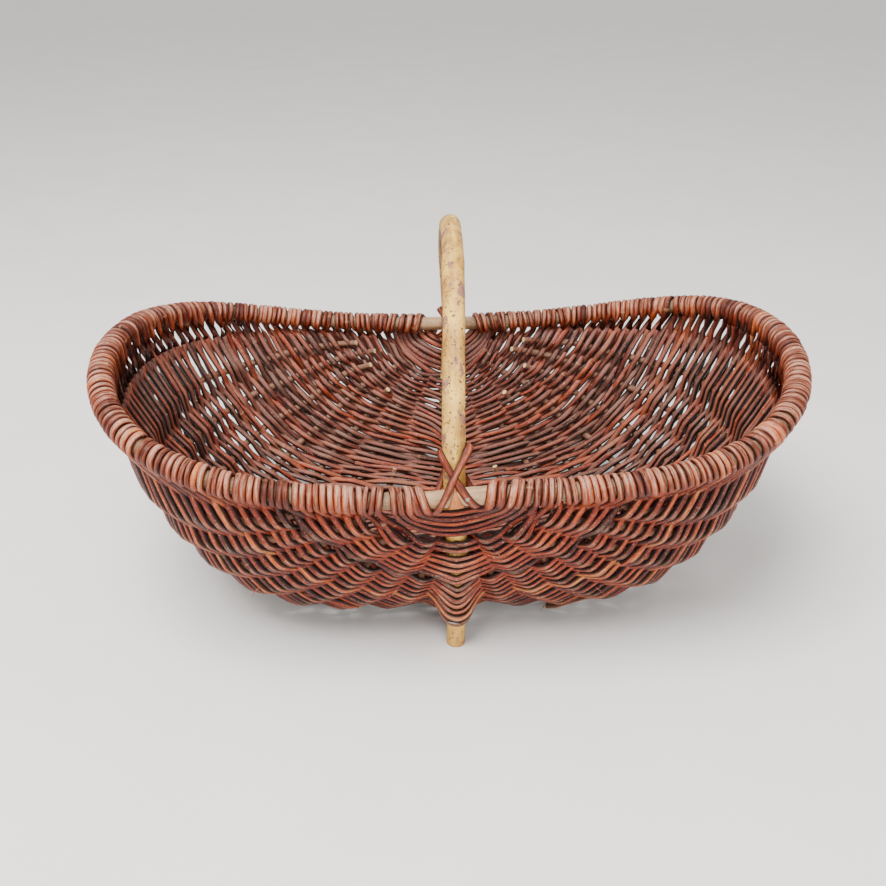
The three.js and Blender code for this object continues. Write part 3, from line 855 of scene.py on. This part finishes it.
def makeRib(part, start, end, name, node, paleHead=False):
    shares = np.linspace(start, end, ribs["places"])
    points, outward = spot(part, shares)

    # each rib has its waves at other places
    def ribWaved(value, *waves):
        return waved(value, shares, *((height, often, part * shift) for height, often, shift in waves))

    wave = ribWaved(0, *ribs["waves"])
    across = unit(np.cross(unit(np.gradient(points, axis=0)), outward))
    toEnd = np.clip(np.minimum(shares - start, end - shares) / ribs["taper"], 0, 1)
    push = np.where((shares > 0.5) & (end > 0.9), ribs["sinkAtSeat"], ribs["sink"])
    points = points + across * (wave * toEnd)[:, None] - outward * (push * (1 - toEnd) ** 2)[:, None]
    thin, more = ribs["endSize"]
    radius = ribs["radius"] * (thin + more * toEnd) * ribWaved(1, ribs["swelling"])
    rings = ringsAlong(points, outward, radius, radius, ribs["sides"])
    values = {"tone": rng.random(), "run": lengthsAlong(points)}
    singleStrand(name, ribBark, rings, values, node, slot="ribs", cuts=(paleHead, True))


def makeRibs():
    for side, name in ((-1, "left"), (1, "right")):
        for j in range(1, ribs["perSide"] + 1):
            start, end = ribEnds(side, j)
            if j % 2 == 0:
                start, end = start + ribs["tucked"], end - ribs["tucked"]
            paleHead = side < 0 and j == 1
            part = side * columnPart(j)
            makeRib(part, start, end, f"ribRod{name.title()}{j}", f"rib_{name}_{j}", paleHead)
    makeRib(0.0, *ribs["middle"], "ribRodMiddle", "rib_middle")


makeRim()
makeHandle()
makeRibs()
print("rim, handle and ribs made")


# Woven rods
seat = {
    "cover": 0.47,  # half a bound rod's width, as a share of the space for it
    "slant": 0.015,  # how far a turn drifts along the rim
    "unevenness": (0.25, 0.015),  # of the rows' height at the handle, and of their rise
    "finish": 262,  # degrees that an end goes round the rim
    "facing": (0.9, -0.3),  # out and up
    "rub": 0.3,
    "front": {
        "top": 145.5,  # height of the first row where it passes the handle
        "space": 5.0,
        "fall": ((0.42, 0.14), (0.72, 0.42), (0.9, 0.7)),  # shares of the way out and of the rise
        "radius": 2.05,
        "left": (-23.8, -30.8, -37.4, -43.3, -48.6),  # where the rows are bound to the rim
        "right": (25.6, 32.4, 38.7, 44.5, 49.8),
    },
    "back": {
        "top": 147.5,
        "space": 5.7,
        "fall": ((0.25, 0.09), (0.6, 0.32), (0.88, 0.62)),
        "radius": 2.45,
        "left": (-23.5, -30.0, -35.8, -40.7, -44.9, -48.6, -51.9),
        "right": (32.4, 38.4, 43.3, 47.2, 50.4, 53.2, 55.6),
    },
}
binding = {
    "radius": 8.4,  # middle of the bound rods from the rim's axis
    "rise": 35.0,  # the wall meets the rim this far below its widest, in degrees
    "cover": 0.52,  # half a bound rod's width, as a share of the space for it
    "singles": 0.23,  # so near the ends of the basket, every other rod makes one turn, not two
    "thick": 1.9,  # rods are pressed flat on the rim
    "step": 9.0,  # degrees
    "drift": 0.13,  # how far turns stray from their places, in turns
    "widths": (0.82, 1.08),
    "lastFinish": 250,  # degrees that the first and last rods go round
}

# A stretch of rod that is one row, at a share of the way back, or some turns round the rim of one side
Stretch = namedtuple("Stretch", "kind place points outward radius rub")


# Rows lie closer where the wall is wide, from the front seat to the back one
def rowShares():
    grid = np.linspace(weave["start"], 1 - weave["start"], weave["searched"])
    parts = np.linspace(0.0, 1.0, weave["searchedAcross"])
    step = 0.002  # to the places before and after

    def wideness(share):
        return np.linalg.norm(spot(parts, share + step)[0] - spot(parts, share - step)[0], axis=1).mean()

    wide = np.array([wideness(share) for share in grid]) ** weave["spread"]
    count = np.concatenate([[0], np.cumsum((wide[1:] + wide[:-1]) / 2)])
    rows = (np.arange(weave["rows"]) + 0.5) / weave["rows"]
    return np.interp(rows, count / count[-1], grid)


shares = rowShares()
gaps = np.gradient(shares)
rimLength = lengthsAlong(rimRight)[-1]


def ribSpans():
    spans = [(0.0, 0.0, 1.0)]
    for side in (-1, 1):
        for j in range(1, ribs["perSide"] + 1):
            spans.append((side * columnPart(j), *ribEnds(side, j)))
    return sorted(spans)


spans = ribSpans()


def middleRadius(share):
    z = placesAlong(middle, [share])[0][2]
    if z < bow["turnHeight"]:
        return ribs["radius"]
    return bow["footRadius"] + (bow["radius"] - bow["footRadius"]) * z / rim["midHeight"]


# From 0 to 1 over a span, straight in the middle and bent over a length at each end
def bent(t, bendStart, bendEnd):
    slope = 1 / (1 - (bendStart + bendEnd) / 2)
    first = slope * t ** 2 / (2 * max(bendStart, 1e-6))
    last = 1 - slope * (1 - t) ** 2 / (2 * max(bendEnd, 1e-6))
    value = slope * (t - bendStart / 2)
    value = np.where(t < bendStart, first, value)
    return np.where(t > 1 - bendEnd, last, value)


# How far the rods of a row lie from the wall's middle: out over one rib, in over the next and straight
# between the two
def rowLift(run, knots, heights, bends):
    index = np.clip(np.searchsorted(knots, run) - 1, 0, len(knots) - 2)
    lift = np.zeros(len(run))
    for i in range(len(knots) - 1):
        length = knots[i + 1] - knots[i]
        t = (run[index == i] - knots[i]) / length
        limit = 0.48 * length  # a rod has some straight stretch in each space
        eased = bent(t, min(bends[i], limit) / length, min(bends[i + 1], limit) / length)
        lift[index == i] = heights[i] * (1 - eased) + heights[i + 1] * eased
    return lift


# How far a row hangs below its place, as a share of the way back
def rowHang(parts, share):
    x = spot(parts, share)[0][:, 0]
    fromSeat = min(share, 1 - share)
    half = "front" if share < 0.5 else "back"
    hang = np.interp(fromSeat, *zip(*weave["hang"][half])) * (1 - np.abs(parts) ** 8)
    for width, depth in weave["dips"][half]:
        hang = hang + np.interp(fromSeat, *zip(*depth)) * bell(x, width)
    return hang * (1 if share < 0.5 else -1)


# One row from rib to rib, passing outside one and inside the next, with the side of the wall on which
# it meets the rim at each end
def rowBody(row, share):
    active = [part for part, head, tail in spans if head < share < tail or part == 0.0]
    centre = active.index(0.0)
    # counted from the middle, so that ribs let in farther out don't turn the order round
    faces = [1 if (row + i - centre) % 2 else -1 for i in range(len(active))]
    parts = np.linspace(-1, 1, weave["places"])
    phases = rng.uniform(0, 6, 3)
    waves = [(height, often, share * drift) for height, often, drift in weave["driftingWaves"]]
    waves += [(height, often, phase) for (height, often), phase in zip(weave["chanceWaves"], phases)]
    wander = weave["wander"] * waved(0, parts, *waves)
    hang = rowHang(parts, share)
    points, outward = spot(parts, np.clip(share + wander + hang, 0.001, 0.999))
    before = spot(parts, share - gaps[row] / 2)[0]
    after = spot(parts, share + gaps[row] / 2)[0]
    space = np.linalg.norm(after - before, axis=1)
    radius = np.minimum(weave["radius"] + weave["growth"] * space, weave["thickest"])
    run = lengthsAlong(points)
    knots = np.interp([-1.0, *active, 1.0], parts, run)
    heights = []
    bends = [weave["bendAtRim"]]
    for part, face in zip(active, faces):
        middleRod = part == 0.0
        body = middleRadius(share) if middleRod else ribs["radius"]
        heights.append(face * (body + weave["settled"] * float(np.interp(part, parts, radius))))
        wide = middleRod and body > ribs["radius"]
        bends.append(weave["bendAtLeg"] if wide else weave["bendAtRib"])
    bends.append(weave["bendAtRim"])
    faceLeft = -faces[0]
    faceRight = -faces[-1]
    heights = [faceLeft * weave["offRim"], *heights, faceRight * weave["offRim"]]
    lift = rowLift(run, knots, heights, bends)
    points = points + outward * lift[:, None]
    # the row ends short of the rim, halfway from the last rib
    cutLeft = max((knots[0] + knots[1]) / 2, knots[0] + weave["shortOfRim"])
    cutRight = min((knots[-1] + knots[-2]) / 2, knots[-1] - weave["shortOfRim"])
    kept = (run >= cutLeft) & (run <= cutRight)
    rub = np.clip(lift / weave["offRim"], 0, 1)
    return [values[kept] for values in (points, outward, radius, rub)], (faceLeft, faceRight)


# Turns of a rod round the rim, drifting on from one edge of its own stretch of rim to the other
def rimTurns(side, edges, count, face, finish):
    rise = binding["rise"]
    degrees = np.arange(-rise, finish + 1, binding["step"])
    turns = np.radians(degrees)
    gap = (edges[1] - edges[0]) / count
    # each turn strays a little where it passes over the rim, at 90 and 450 degrees
    nudges = rng.normal(0, binding["drift"], 2) * abs(gap)
    nudge = np.interp(degrees, [-rise, 90, 450, 610], [0, *nudges, 0])
    moved = edges[0] + gap * ((degrees - 90) / 360 + 0.5) + nudge
    centre = placesAlong(rimRight, np.clip(moved, 0, 1))
    step = 0.002  # to the places before and after
    ahead = placesAlong(rimRight, np.clip(moved + step, 0, 1))
    before = placesAlong(rimRight, np.clip(moved - step, 0, 1))
    along = unit(ahead - before)
    outward = spot(1.0, moved)[1]
    outward = unit(outward - np.sum(outward * along, axis=1, keepdims=True) * along)
    up = unit(np.cross(outward, along))
    up = np.where(up[:, 2:3] < 0, -up, up)
    radial = outward * (face * np.cos(turns))[:, None] + up * np.sin(turns)[:, None]
    points = centre + radial * binding["radius"]
    mirror = np.array([side, 1, 1])
    return points * mirror, radial * mirror


def resampled(points, step, *others):
    run = lengthsAlong(points)
    wanted = np.linspace(0, run[-1], max(int(run[-1] / step), 3))
    result = []
    for values in (points, *others):
        if values.ndim == 1:
            result.append(np.interp(wanted, run, values))
        else:
            result.append(np.stack([np.interp(wanted, run, values[:, i]) for i in range(3)], axis=-1))
    return result


# The groups of rods, with the share where each ends
def groupEnds():
    start, bands = weave["wallEnd"], weave["bands"]
    edges = [("weave_seat_front", weave["seatEnd"]), ("weave_front", start)]
    for band in range(1, bands + 1):
        edges.append((f"weave_band_{band}", start + (1 - 2 * start) * band / bands))
    edges += [("weave_back", 1 - weave["seatEnd"]), ("weave_seat_back", 1.0)]
    return edges


def groupAt(edges, share):
    return next(name for name, end in edges if share <= end)


def rimStretch(side, edges, count, face, finish, backward=False, width=None):
    points, out = rimTurns(side, edges, count, face, finish)
    if width is None:
        width = binding["cover"] * abs(edges[1] - edges[0]) * rimLength / count
        width = width * rng.uniform(*binding["widths"])
    if backward:
        points, out = points[::-1], out[::-1]
    points, out = resampled(points, weave["turnStep"], out)
    # the turns count as more rubbed towards the top of the rim, so they are paler on top and darker below:
    # partly wear, partly painted top light and shade
    return Stretch("turns", side, points, out, np.full(len(points), width), 0.5 + 0.5 * out[:, 2])


# One of the first rows: a rod of its own that hangs under the rim in front of the handle
def seatRow(number, way, face):
    place = seat[face]
    toEnd = slice(rim["places"])

    def rimShare(x):
        share = np.interp(abs(x), rimRight[toEnd, 0], lengthsAlong(rimRight)[toEnd]) / rimLength
        return share if way < 0 else 1 - share

    def boundEnd(side, name, backward):
        share = rimShare(place[name][number])
        width = seat["cover"] * abs(np.gradient(place[name])[number])
        edges = (share + seat["slant"] * way / 2, share - seat["slant"] * way / 2)
        return share, rimStretch(side, edges, 1, 1, seat["finish"], backward, width)

    leftShare, left = boundEnd(-1, "left", True)
    rightShare, right = boundEnd(1, "right", False)
    start, finish = left.points[-1], right.points[0]
    heightError, riseError = seat["unevenness"]
    low = place["top"] - place["space"] * number + rng.normal(0, heightError)
    centre = legPoint(low, way) + [0, way * (bow["radius"] + place["radius"]), 0]
    drop = start[2] - low
    fall = [(out, rise + rng.normal(0, riseError)) for out, rise in place["fall"]]

    def beside(end, part, rise):
        y = centre[1] + way * (abs(end[1]) - abs(centre[1])) * part ** 3
        return np.array([end[0] * part, y, low + rise * drop])

    perSpan = 12
    line = smoothLine([
        left.points[-4], start, *[beside(start, *f) for f in reversed(fall)], centre,
        *[beside(finish, *f) for f in fall], finish, right.points[3],
    ], perSpan)[perSpan:-perSpan]
    points, = resampled(line, weave["rowStep"])
    count = len(points)
    out = np.tile([0, way * seat["facing"][0], seat["facing"][1]], (count, 1))
    share = (leftShare + rightShare) / 2
    rub = np.full(count, seat["rub"])
    body = Stretch("row", share, points, out, np.full(count, place["radius"]), rub)
    return [left, body, right]


# The stretch of rim that each turning rod covers, and its turns. Near the ends of the basket the rods
# are taken in pairs, one with a single turn and one with two.
def turnPlan():
    plan = {}
    for first in (0, 1):
        rows = list(range(first, weave["rows"] - 1, 2))
        edges = [shares[row] - gaps[row] / 2 for row in rows]
        edges.append(shares[rows[-1] + 1] + gaps[rows[-1] + 1] / 2)
        turns = [2] * len(rows)
        for k in range(0, len(rows) - 1, 2):
            if abs(edges[k + 1] - 0.5) < binding["singles"]:
                turns[k + rng.integers(2)] = 1
                edges[k + 1] = edges[k] + (edges[k + 2] - edges[k]) * turns[k] / 3
        for k, row in enumerate(rows):
            plan[row] = ((edges[k], edges[k + 1]), turns[k])
    return plan


# The rods between the seats, as one line to and fro: rows, and turns round the rim between them
def mainRows():
    stretches = []
    plan = turnPlan()
    last = weave["rows"] - 1
    lastFinish = binding["lastFinish"]
    for row in range(weave["rows"]):
        share = shares[row] + rng.normal(0, weave["chance"]) * gaps[row]
        (points, *others), faces = rowBody(row, share)
        body = resampled(points, weave["rowStep"], *others)
        side = 1
        if row % 2:
            side = -1
            body = [values[::-1] for values in body]
            faces = faces[::-1]
        half = gaps[row] / 2
        if row == 0:
            edges = (share + half, share - half)
            stretches.append(rimStretch(-side, edges, 1, faces[0], lastFinish, backward=True))
        stretches.append(Stretch("row", share, *body))
        if row < last:
            edges, count = plan[row]
            finish = 360 * count - 180 + binding["rise"]
            stretches.append(rimStretch(side, edges, count, faces[1], finish))
        else:
            edges = (share - half, share + half)
            stretches.append(rimStretch(side, edges, 1, faces[1], lastFinish))
    return stretches


# Tones, sizes and buds along a line of rods that follow one another
def rodMarks(run):
    tone = np.zeros(len(run))
    size = np.ones(len(run))
    bud = np.zeros(len(run))
    start = -rng.uniform(0, weave["before"])
    while start < run[-1]:
        length = rng.uniform(*weave["rodLength"])
        inRod = (run >= start) & (run < start + length)
        along = (run[inRod] - start) / length
        tone[inRod] = np.clip(rng.normal(*weave["tone"]), 0, 1)
        size[inRod] = 1 + rng.uniform(-1, 1) * weave["rodSpread"]
        size[inRod] *= weave["butt"] - weave["taper"] * along
        start += length
    size[1:-1] = (size[:-2] + size[1:-1] + size[2:]) / 3
    at = rng.uniform(0, weave["firstBud"])
    reach = weave["budReach"]
    while at < run[-1]:
        low, high = np.searchsorted(run, [at - reach, at + reach])
        bud[low:high] = bell(run[low:high] - at, weave["budLength"]) * rng.uniform(*weave["budSize"])
        at += rng.uniform(*weave["budSpace"])
    return tone, size * (1 + weave["swelling"] * bud), bud


# Takes the corners out of values along a line; beside is the weight of each neighbour
def soften(values, beside):
    values[1:-1] = beside * values[:-2] + (1 - 2 * beside) * values[1:-1] + beside * values[2:]


# Rods as one long strand, cut up where it passes from one group or one side's turns to the next
def addRods(stretches, groups, turns, edges):
    points, outward, radius, rub = (
        np.concatenate([getattr(stretch, name) for stretch in stretches])
        for name in ("points", "outward", "radius", "rub")
    )
    bound = np.concatenate([np.full(len(s.points), float(s.kind == "turns")) for s in stretches])
    soften(points, 0.22)
    for smoothing in range(3):
        for values in (outward, radius, bound):
            soften(values, 0.25)
    outward = unit(outward)
    run = lengthsAlong(points)
    tone, size, bud = rodMarks(run)
    wide, flat = weave["pressed"]
    width = radius * (1 + (size - 1) * (1 - 0.5 * bound)) * (wide + (1 - wide) * bound)
    thick = (radius * flat * (1 - bound) + binding["thick"] * bound) * size
    rings = ringsAlong(points, outward, width, thick, weave["sides"])
    run = run + rng.uniform(0, weave["runSpread"])
    values = {"tone": tone, "run": run, "rub": rub, "bud": bud, "bound": bound}
    first = 0
    for i, stretch in enumerate(stretches):
        final = i == len(stretches) - 1
        last = first + len(stretch.points) + (0 if final else 1)
        if stretch.kind == "turns":
            target = turns[stretch.place]
        else:
            target = groups[groupAt(edges, stretch.place)]
        part = {name: value[first:last] for name, value in values.items()}
        target.add(rings[first:last], part, cuts=(i == 0, final))
        first = last - 1


rodEnd = {
    "places": 26,
    "tucked": 1.5,  # how far the rod lies off the wall where it comes from
    "swelling": 0.05,
    "tone": (0.45, 0.8),
    "rub": 0.4,
}
# Where single rods end in view: part and share of the end, part where the rod comes from, radius, how
# far the end stands out (or in) and how much paler it is
rodEnds = [
    (-0.605, 0.67, -0.78, 2.7, -6.5, 0.0),
    (-0.535, 0.667, -0.7, 2.3, -6.0, 0.0),
    (-0.125, 0.699, -0.3, 2.5, -7.5, 0.0),
    (-0.32, 0.675, -0.12, 2.4, -6.5, 0.0),
    (0.36, 0.69, 0.2, 2.2, -6.5, 0.0),
    (0.62, 0.72, 0.78, 2.4, -6.5, 0.0),
    (-0.27, 0.289, -0.42, 2.4, 6.0, 0.0),
    (0.23, 0.333, 0.4, 2.3, 7.5, 0.55),
    (0.56, 0.24, 0.7, 2.0, 6.0, 0.0),
]
splinter = {
    "places": 7,
    "over": 5.0,  # over the wall where it starts
    "rise": (5.0, 2.0),  # it rises by the first, and by the second in a curve
    "size": (0.5, 0.85),  # radius, and how much of that is gone at its tip
    "wide": 1.6,
    "thick": 0.7,
    "tone": 0.9,
}
# Splinters: part and share, direction in parts and shares, length
splinters = [
    (0.28, 0.1, 0.5, -0.2, 9.0),
    (0.285, 0.103, 0.6, 0.25, 7.0),
    (-0.705, 0.104, -0.5, -0.4, 8.0),
    (-0.7, 0.108, -0.2, 0.5, 7.0),
    (0.236, 0.333, -0.6, 0.2, 8.0),
    (-0.5, 0.32, 0.3, 0.5, 9.0),
    (0.42, 0.27, 0.5, 0.3, 7.0),
]


def addEnds(groups, edges):
    for part, share, origin, size, lift, paler in rodEnds:
        t = np.linspace(0, 1, rodEnd["places"])
        points, outward = spot(origin + (part - origin) * t, share + 0.002 * np.sin(t * 3))
        tucked = np.sign(lift) * rodEnd["tucked"]
        height = tucked + (lift - tucked) * np.clip(t * 1.6 - 0.4, 0, 1) ** 1.5
        points = points + outward * height[:, None]
        radius = size * (1 + rodEnd["swelling"] * np.sin(t * 9))
        rings = ringsAlong(points, outward, radius, radius, weave["sides"])
        tone = rng.uniform(*rodEnd["tone"]) + paler
        run = lengthsAlong(points) + rng.uniform(0, weave["runSpread"])
        values = {"tone": tone, "run": run, "rub": rodEnd["rub"] + paler}
        groups[groupAt(edges, share)].add(rings, values, cuts=(False, True))

    rise, curl = splinter["rise"]
    radius, taper = splinter["size"]
    count = splinter["places"]
    t = np.linspace(0, 1, count)[:, None]
    size = radius * (1 - taper * t[:, 0])
    for part, share, toPart, toShare, length in splinters:
        step = 0.02  # to a second place, for the direction
        here, out = spot(np.array([part, part + step * toPart]), np.array([share, share + step * toShare]))
        along = unit(here[1] - here[0])
        straight = here[0] + out[0] * (splinter["over"] + rise * t) + along * length * t
        points = straight + out[0] * curl * t ** 2
        outward = np.tile(out[0], (count, 1))
        wide, thick = size * splinter["wide"], size * splinter["thick"]
        rings = ringsAlong(points, outward, wide, thick, weave["sides"])
        values = {"tone": splinter["tone"], "run": lengthsAlong(points), "rub": 1.0}
        groups[groupAt(edges, share)].add(rings, values, cuts=(False, False))


def makeWeave():
    edges = groupEnds()
    groups = {name: Strands(weave["sides"]) for name, end in edges}
    turns = {-1: Strands(weave["sides"]), 1: Strands(weave["sides"])}
    for way, face in ((-1, "front"), (1, "back")):
        for number in range(len(seat[face]["left"])):
            addRods(seatRow(number, way, face), groups, turns, edges)
    addRods(mainRows(), groups, turns, edges)
    addEnds(groups, edges)
    for i, (name, end) in enumerate(edges):
        groups[name].build(f"weaveRods{i + 1}", rodBark, name, slot="weave")
    turns[-1].build("rimTurnsLeft", rodBark, "rim_binding_left", slot="binding")
    turns[1].build("rimTurnsRight", rodBark, "rim_binding_right", slot="binding")


makeWeave()
print("weave made")

lashing = {
    "width": 2.8,
    "thick": 1.0,
    "crossing": {"front": 15.5, "back": 9.0},  # height of the cross over the rim's axis
    "lean": {"front": 33.5, "back": 36.0},  # degrees
    "clear": 0.15,  # room over the rods that it is pulled round
    "handleIn": 1.2,
    "places": 90,
    "cutPlaces": 60,  # round the cut through a round rod
    "sides": 12,
    "waviness": 0.06,
    "tone": 0.3,  # of the lower strip, and how much paler the upper one is
    "paler": 0.2,
    "rub": 0.45,
}


# The tight loop round points in a plane
def hull(points):
    points = sorted(map(tuple, points))

    def half(run):
        chain = []
        for p in run:
            while len(chain) > 1:
                (ax, ay), (bx, by) = chain[-2], chain[-1]
                if (bx - ax) * (p[1] - ay) - (by - ay) * (p[0] - ax) > 0:
                    break
                chain.pop()
            chain.append(p)
        return chain[:-1]

    return np.array(half(points) + half(points[::-1]))


# A strip pulled tight round the rim rod and the handle where they cross
def makeLashing(way, face, tilt, layer, name, node):
    lean = radians(lashing["lean"][face])
    crossing = lashing["crossing"][face]
    grow = lashing["thick"] * (1 + 2 * layer) + lashing["clear"]
    turns = np.linspace(0, 2 * pi, lashing["cutPlaces"], endpoint=False)

    # in the strip's own plane a round rod is cut as an oval
    def section(along, across, radius, stretch):
        x = along + (radius + grow) / stretch * np.cos(turns)
        return np.stack([x, across + (radius + grow) * np.sin(turns)], axis=-1)

    onRim = section(-crossing / cos(lean), rim["halfWidth"], rim["radius"], cos(lean))
    onHandle = section(0.0, bow["legTop"] + lashing["handleIn"], bow["radius"], sin(lean))
    loop = hull(np.vstack([onRim, onHandle]))
    along, across = np.vstack([loop, loop[:1]]).T
    height = rim["midHeight"] + crossing + along * cos(lean)
    line = np.stack([tilt * along * sin(lean), way * across, height], axis=-1)
    count = lashing["places"]
    points = placesAlong(line, np.linspace(0, 1, count, endpoint=False))
    outward = unit(points - points.mean(axis=0))
    wave = np.sin(np.arange(count) / count * 8 * pi + layer)
    width = lashing["width"] * (1 + lashing["waviness"] * wave)
    rings = ringsAlong(points, outward, width, lashing["thick"], lashing["sides"], closed=True)
    run = lengthsAlong(points) + 50 * layer
    tone = lashing["tone"] + lashing["paler"] * layer
    values = {"tone": tone, "run": run, "rub": lashing["rub"], "bound": 1.0}
    singleStrand(name, rodBark, rings, values, node, slot="lashing", closed=True)


for way, face in ((-1, "front"), (1, "back")):
    for layer, tilt in ((0, -1), (1, 1)):
        number = layer + 1
        makeLashing(way, face, tilt, layer, f"lash{face.title()}{number}", f"lashing_{face}_{number}")


wedge = {
    "turn": (62, -52),  # degrees round the rim, from its thin end to its thick one
    "reach": 0.9,  # over the rim rod
    "tip": (3.2, 4.2),  # how far the tip reaches in and up beyond that
    "width": (0.5, 6.2),  # half of it at the tip and at the thick end
    "thick": 0.8,
    "across": (0.5, 0.6, 0.9),  # how far right of the middle its tip and its two ends lie
    "places": 16,
    "sides": 10,
    "tone": 0.75,
    "rub": 0.6,
}


# A wedge of split willow driven down between the lashing and the rim
def makeWedge():
    count = wedge["places"]
    turn = np.radians(np.linspace(*wedge["turn"], count))
    reach = rim["radius"] + wedge["reach"]
    y = -rim["halfWidth"] - reach * np.cos(turn)
    z = rim["midHeight"] + reach * np.sin(turn)
    inward, up = wedge["tip"]
    tipAcross, *across = wedge["across"]
    arc = np.stack([np.linspace(*across, count), y, z], axis=-1)
    points = np.vstack([[tipAcross, y[0] + inward, z[0] + up], arc])
    outward = unit(points - [0, -rim["halfWidth"], rim["midHeight"]]) * [0, 1, 1]
    width = np.linspace(*wedge["width"], count + 1)
    rings = ringsAlong(points, outward, width, wedge["thick"], wedge["sides"])
    values = {"tone": wedge["tone"], "run": lengthsAlong(points) + 400, "rub": wedge["rub"]}
    singleStrand("seatWedge", splitWood, rings, values, cuts=(False, False))


nailSides = 10
nail = {
    "place": (8.4, -170.6, 168.0),
    "away": (0.15, -0.92, 0.35),
    "depth": (-3.0, 0.0, 0.05, 0.5, 0.8),  # from the point in the wood to the top of the head
    "radius": (0.6, 0.6, 1.5, 1.4, 0.8),
}
staple = {
    "height": 34.0,
    "radius": 0.65,
    # places from side to side, out of the foot, and over the ground
    "line": (
        (-6.4, 1.5, 33.0), (-6.2, -2.6, 33.4), (-5.4, -4.0, 33.7), (-2.6, -4.6, 33.2),
        (0.2, -4.3, 32.6), (1.0, -2.8, 32.4), (1.2, 1.5, 32.2),
    ),
}


# A nail through the lashing and a staple over the last row on the front foot
def makeNails():
    strands = Strands(nailSides)
    points = np.array(nail["place"]) + unit(np.array(nail["away"])) * np.array(nail["depth"])[:, None]
    size = np.array(nail["radius"])
    rings = ringsAlong(points, np.tile([1.0, 0, 0], (len(points), 1)), size, size, nailSides)
    strands.add(rings, {}, cuts=(False, False))
    foot = legPoint(staple["height"], -1)[1] - bow["footRadius"]
    line = smoothLine(np.array(staple["line"]) + [0, foot, 0], 6)
    size = staple["radius"]
    rings = ringsAlong(line, np.tile([0, 0, 1.0], (len(line), 1)), size, size, nailSides)
    strands.add(rings, {"run": lengthsAlong(line)}, cuts=(False, False))
    strands.build("seatNails", steel)


makeWedge()
makeNails()
print("lashings, wedge and nails made")


# Floor, light and camera, in metres
stage = {
    "floorHalf": 6.0,
    "floorDrop": 0.0002,
    "floorStops": [(0.3, (0.9, 0.865, 0.82)), (0.7, (0.94, 0.905, 0.86))],
    "skyStops": [(0.0, (0.34, 0.34, 0.34)), (1.0, (1.0, 1.0, 1.02))],
    "skyStrength": 1.08,
    "target": (0, 0, 0.1),
    # place, size and power in watts
    "lights": {"skyPanel": ((-0.5, -0.6, 1.9), 1.1, 72.0), "frontPanel": ((0.5, -1.9, 0.9), 1.0, 18.0)},
    "camera": {"place": (-0.0314, -0.7404, 0.533), "turn": (60.8, 0, -2), "lens": 40.02, "sensor": 36.0},
}


def makeFloor():
    size = stage["floorHalf"]
    mesh = bpy.data.meshes.new("floor")
    corners = [(-size, -size, 0), (size, -size, 0), (size, size, 0), (-size, size, 0)]
    mesh.from_pydata(corners, [], [(0, 1, 2, 3)])
    floor = bpy.data.objects.new("floor", mesh)
    bpy.context.scene.collection.objects.link(floor)
    s = newMaterial("floorPaint")
    grain = s.noise(8.0, 4.0, 0.6)
    sockets = {"Base Color": s.ramp(grain, stage["floorStops"]), "Roughness": 0.75 + grain * 0.1}
    mesh.materials.append(s.finish(sockets, grain, distance=0.0005, strength=0.1))
    floor.location.z = -stage["floorDrop"]


# An overcast sky: bright overhead, dimmer towards the horizon
def makeSky():
    world = bpy.data.worlds.new("softSky")
    s = Shader(world)
    direction = s.node("ShaderNodeTexCoord", output="Generated")
    up = s.node("ShaderNodeSeparateXYZ", {}, {0: direction}, output="Z")
    sockets = {"Color": s.ramp(up, stage["skyStops"]), "Strength": stage["skyStrength"]}
    s.node("ShaderNodeOutputWorld", {}, {"Surface": s.node("ShaderNodeBackground", {}, sockets)})
    bpy.context.scene.world = world


def makeLights():
    for name, (place, size, power) in stage["lights"].items():
        light = bpy.data.lights.new(name, "AREA")
        light.size = size
        light.energy = power
        lamp = bpy.data.objects.new(name, light)
        lamp.location = place
        towards = Vector(stage["target"]) - Vector(place)
        lamp.rotation_euler = towards.to_track_quat("-Z", "Y").to_euler()
        bpy.context.scene.collection.objects.link(lamp)


def makeCamera():
    look = stage["camera"]
    data = bpy.data.cameras.new("camera")
    data.sensor_width = look["sensor"]
    data.lens = look["lens"]
    camera = bpy.data.objects.new("camera", data)
    camera.location = look["place"]
    camera.rotation_euler = [radians(turn) for turn in look["turn"]]
    bpy.context.scene.collection.objects.link(camera)
    bpy.context.scene.camera = camera


makeFloor()
makeSky()
makeLights()
makeCamera()
print("floor, light and camera set")
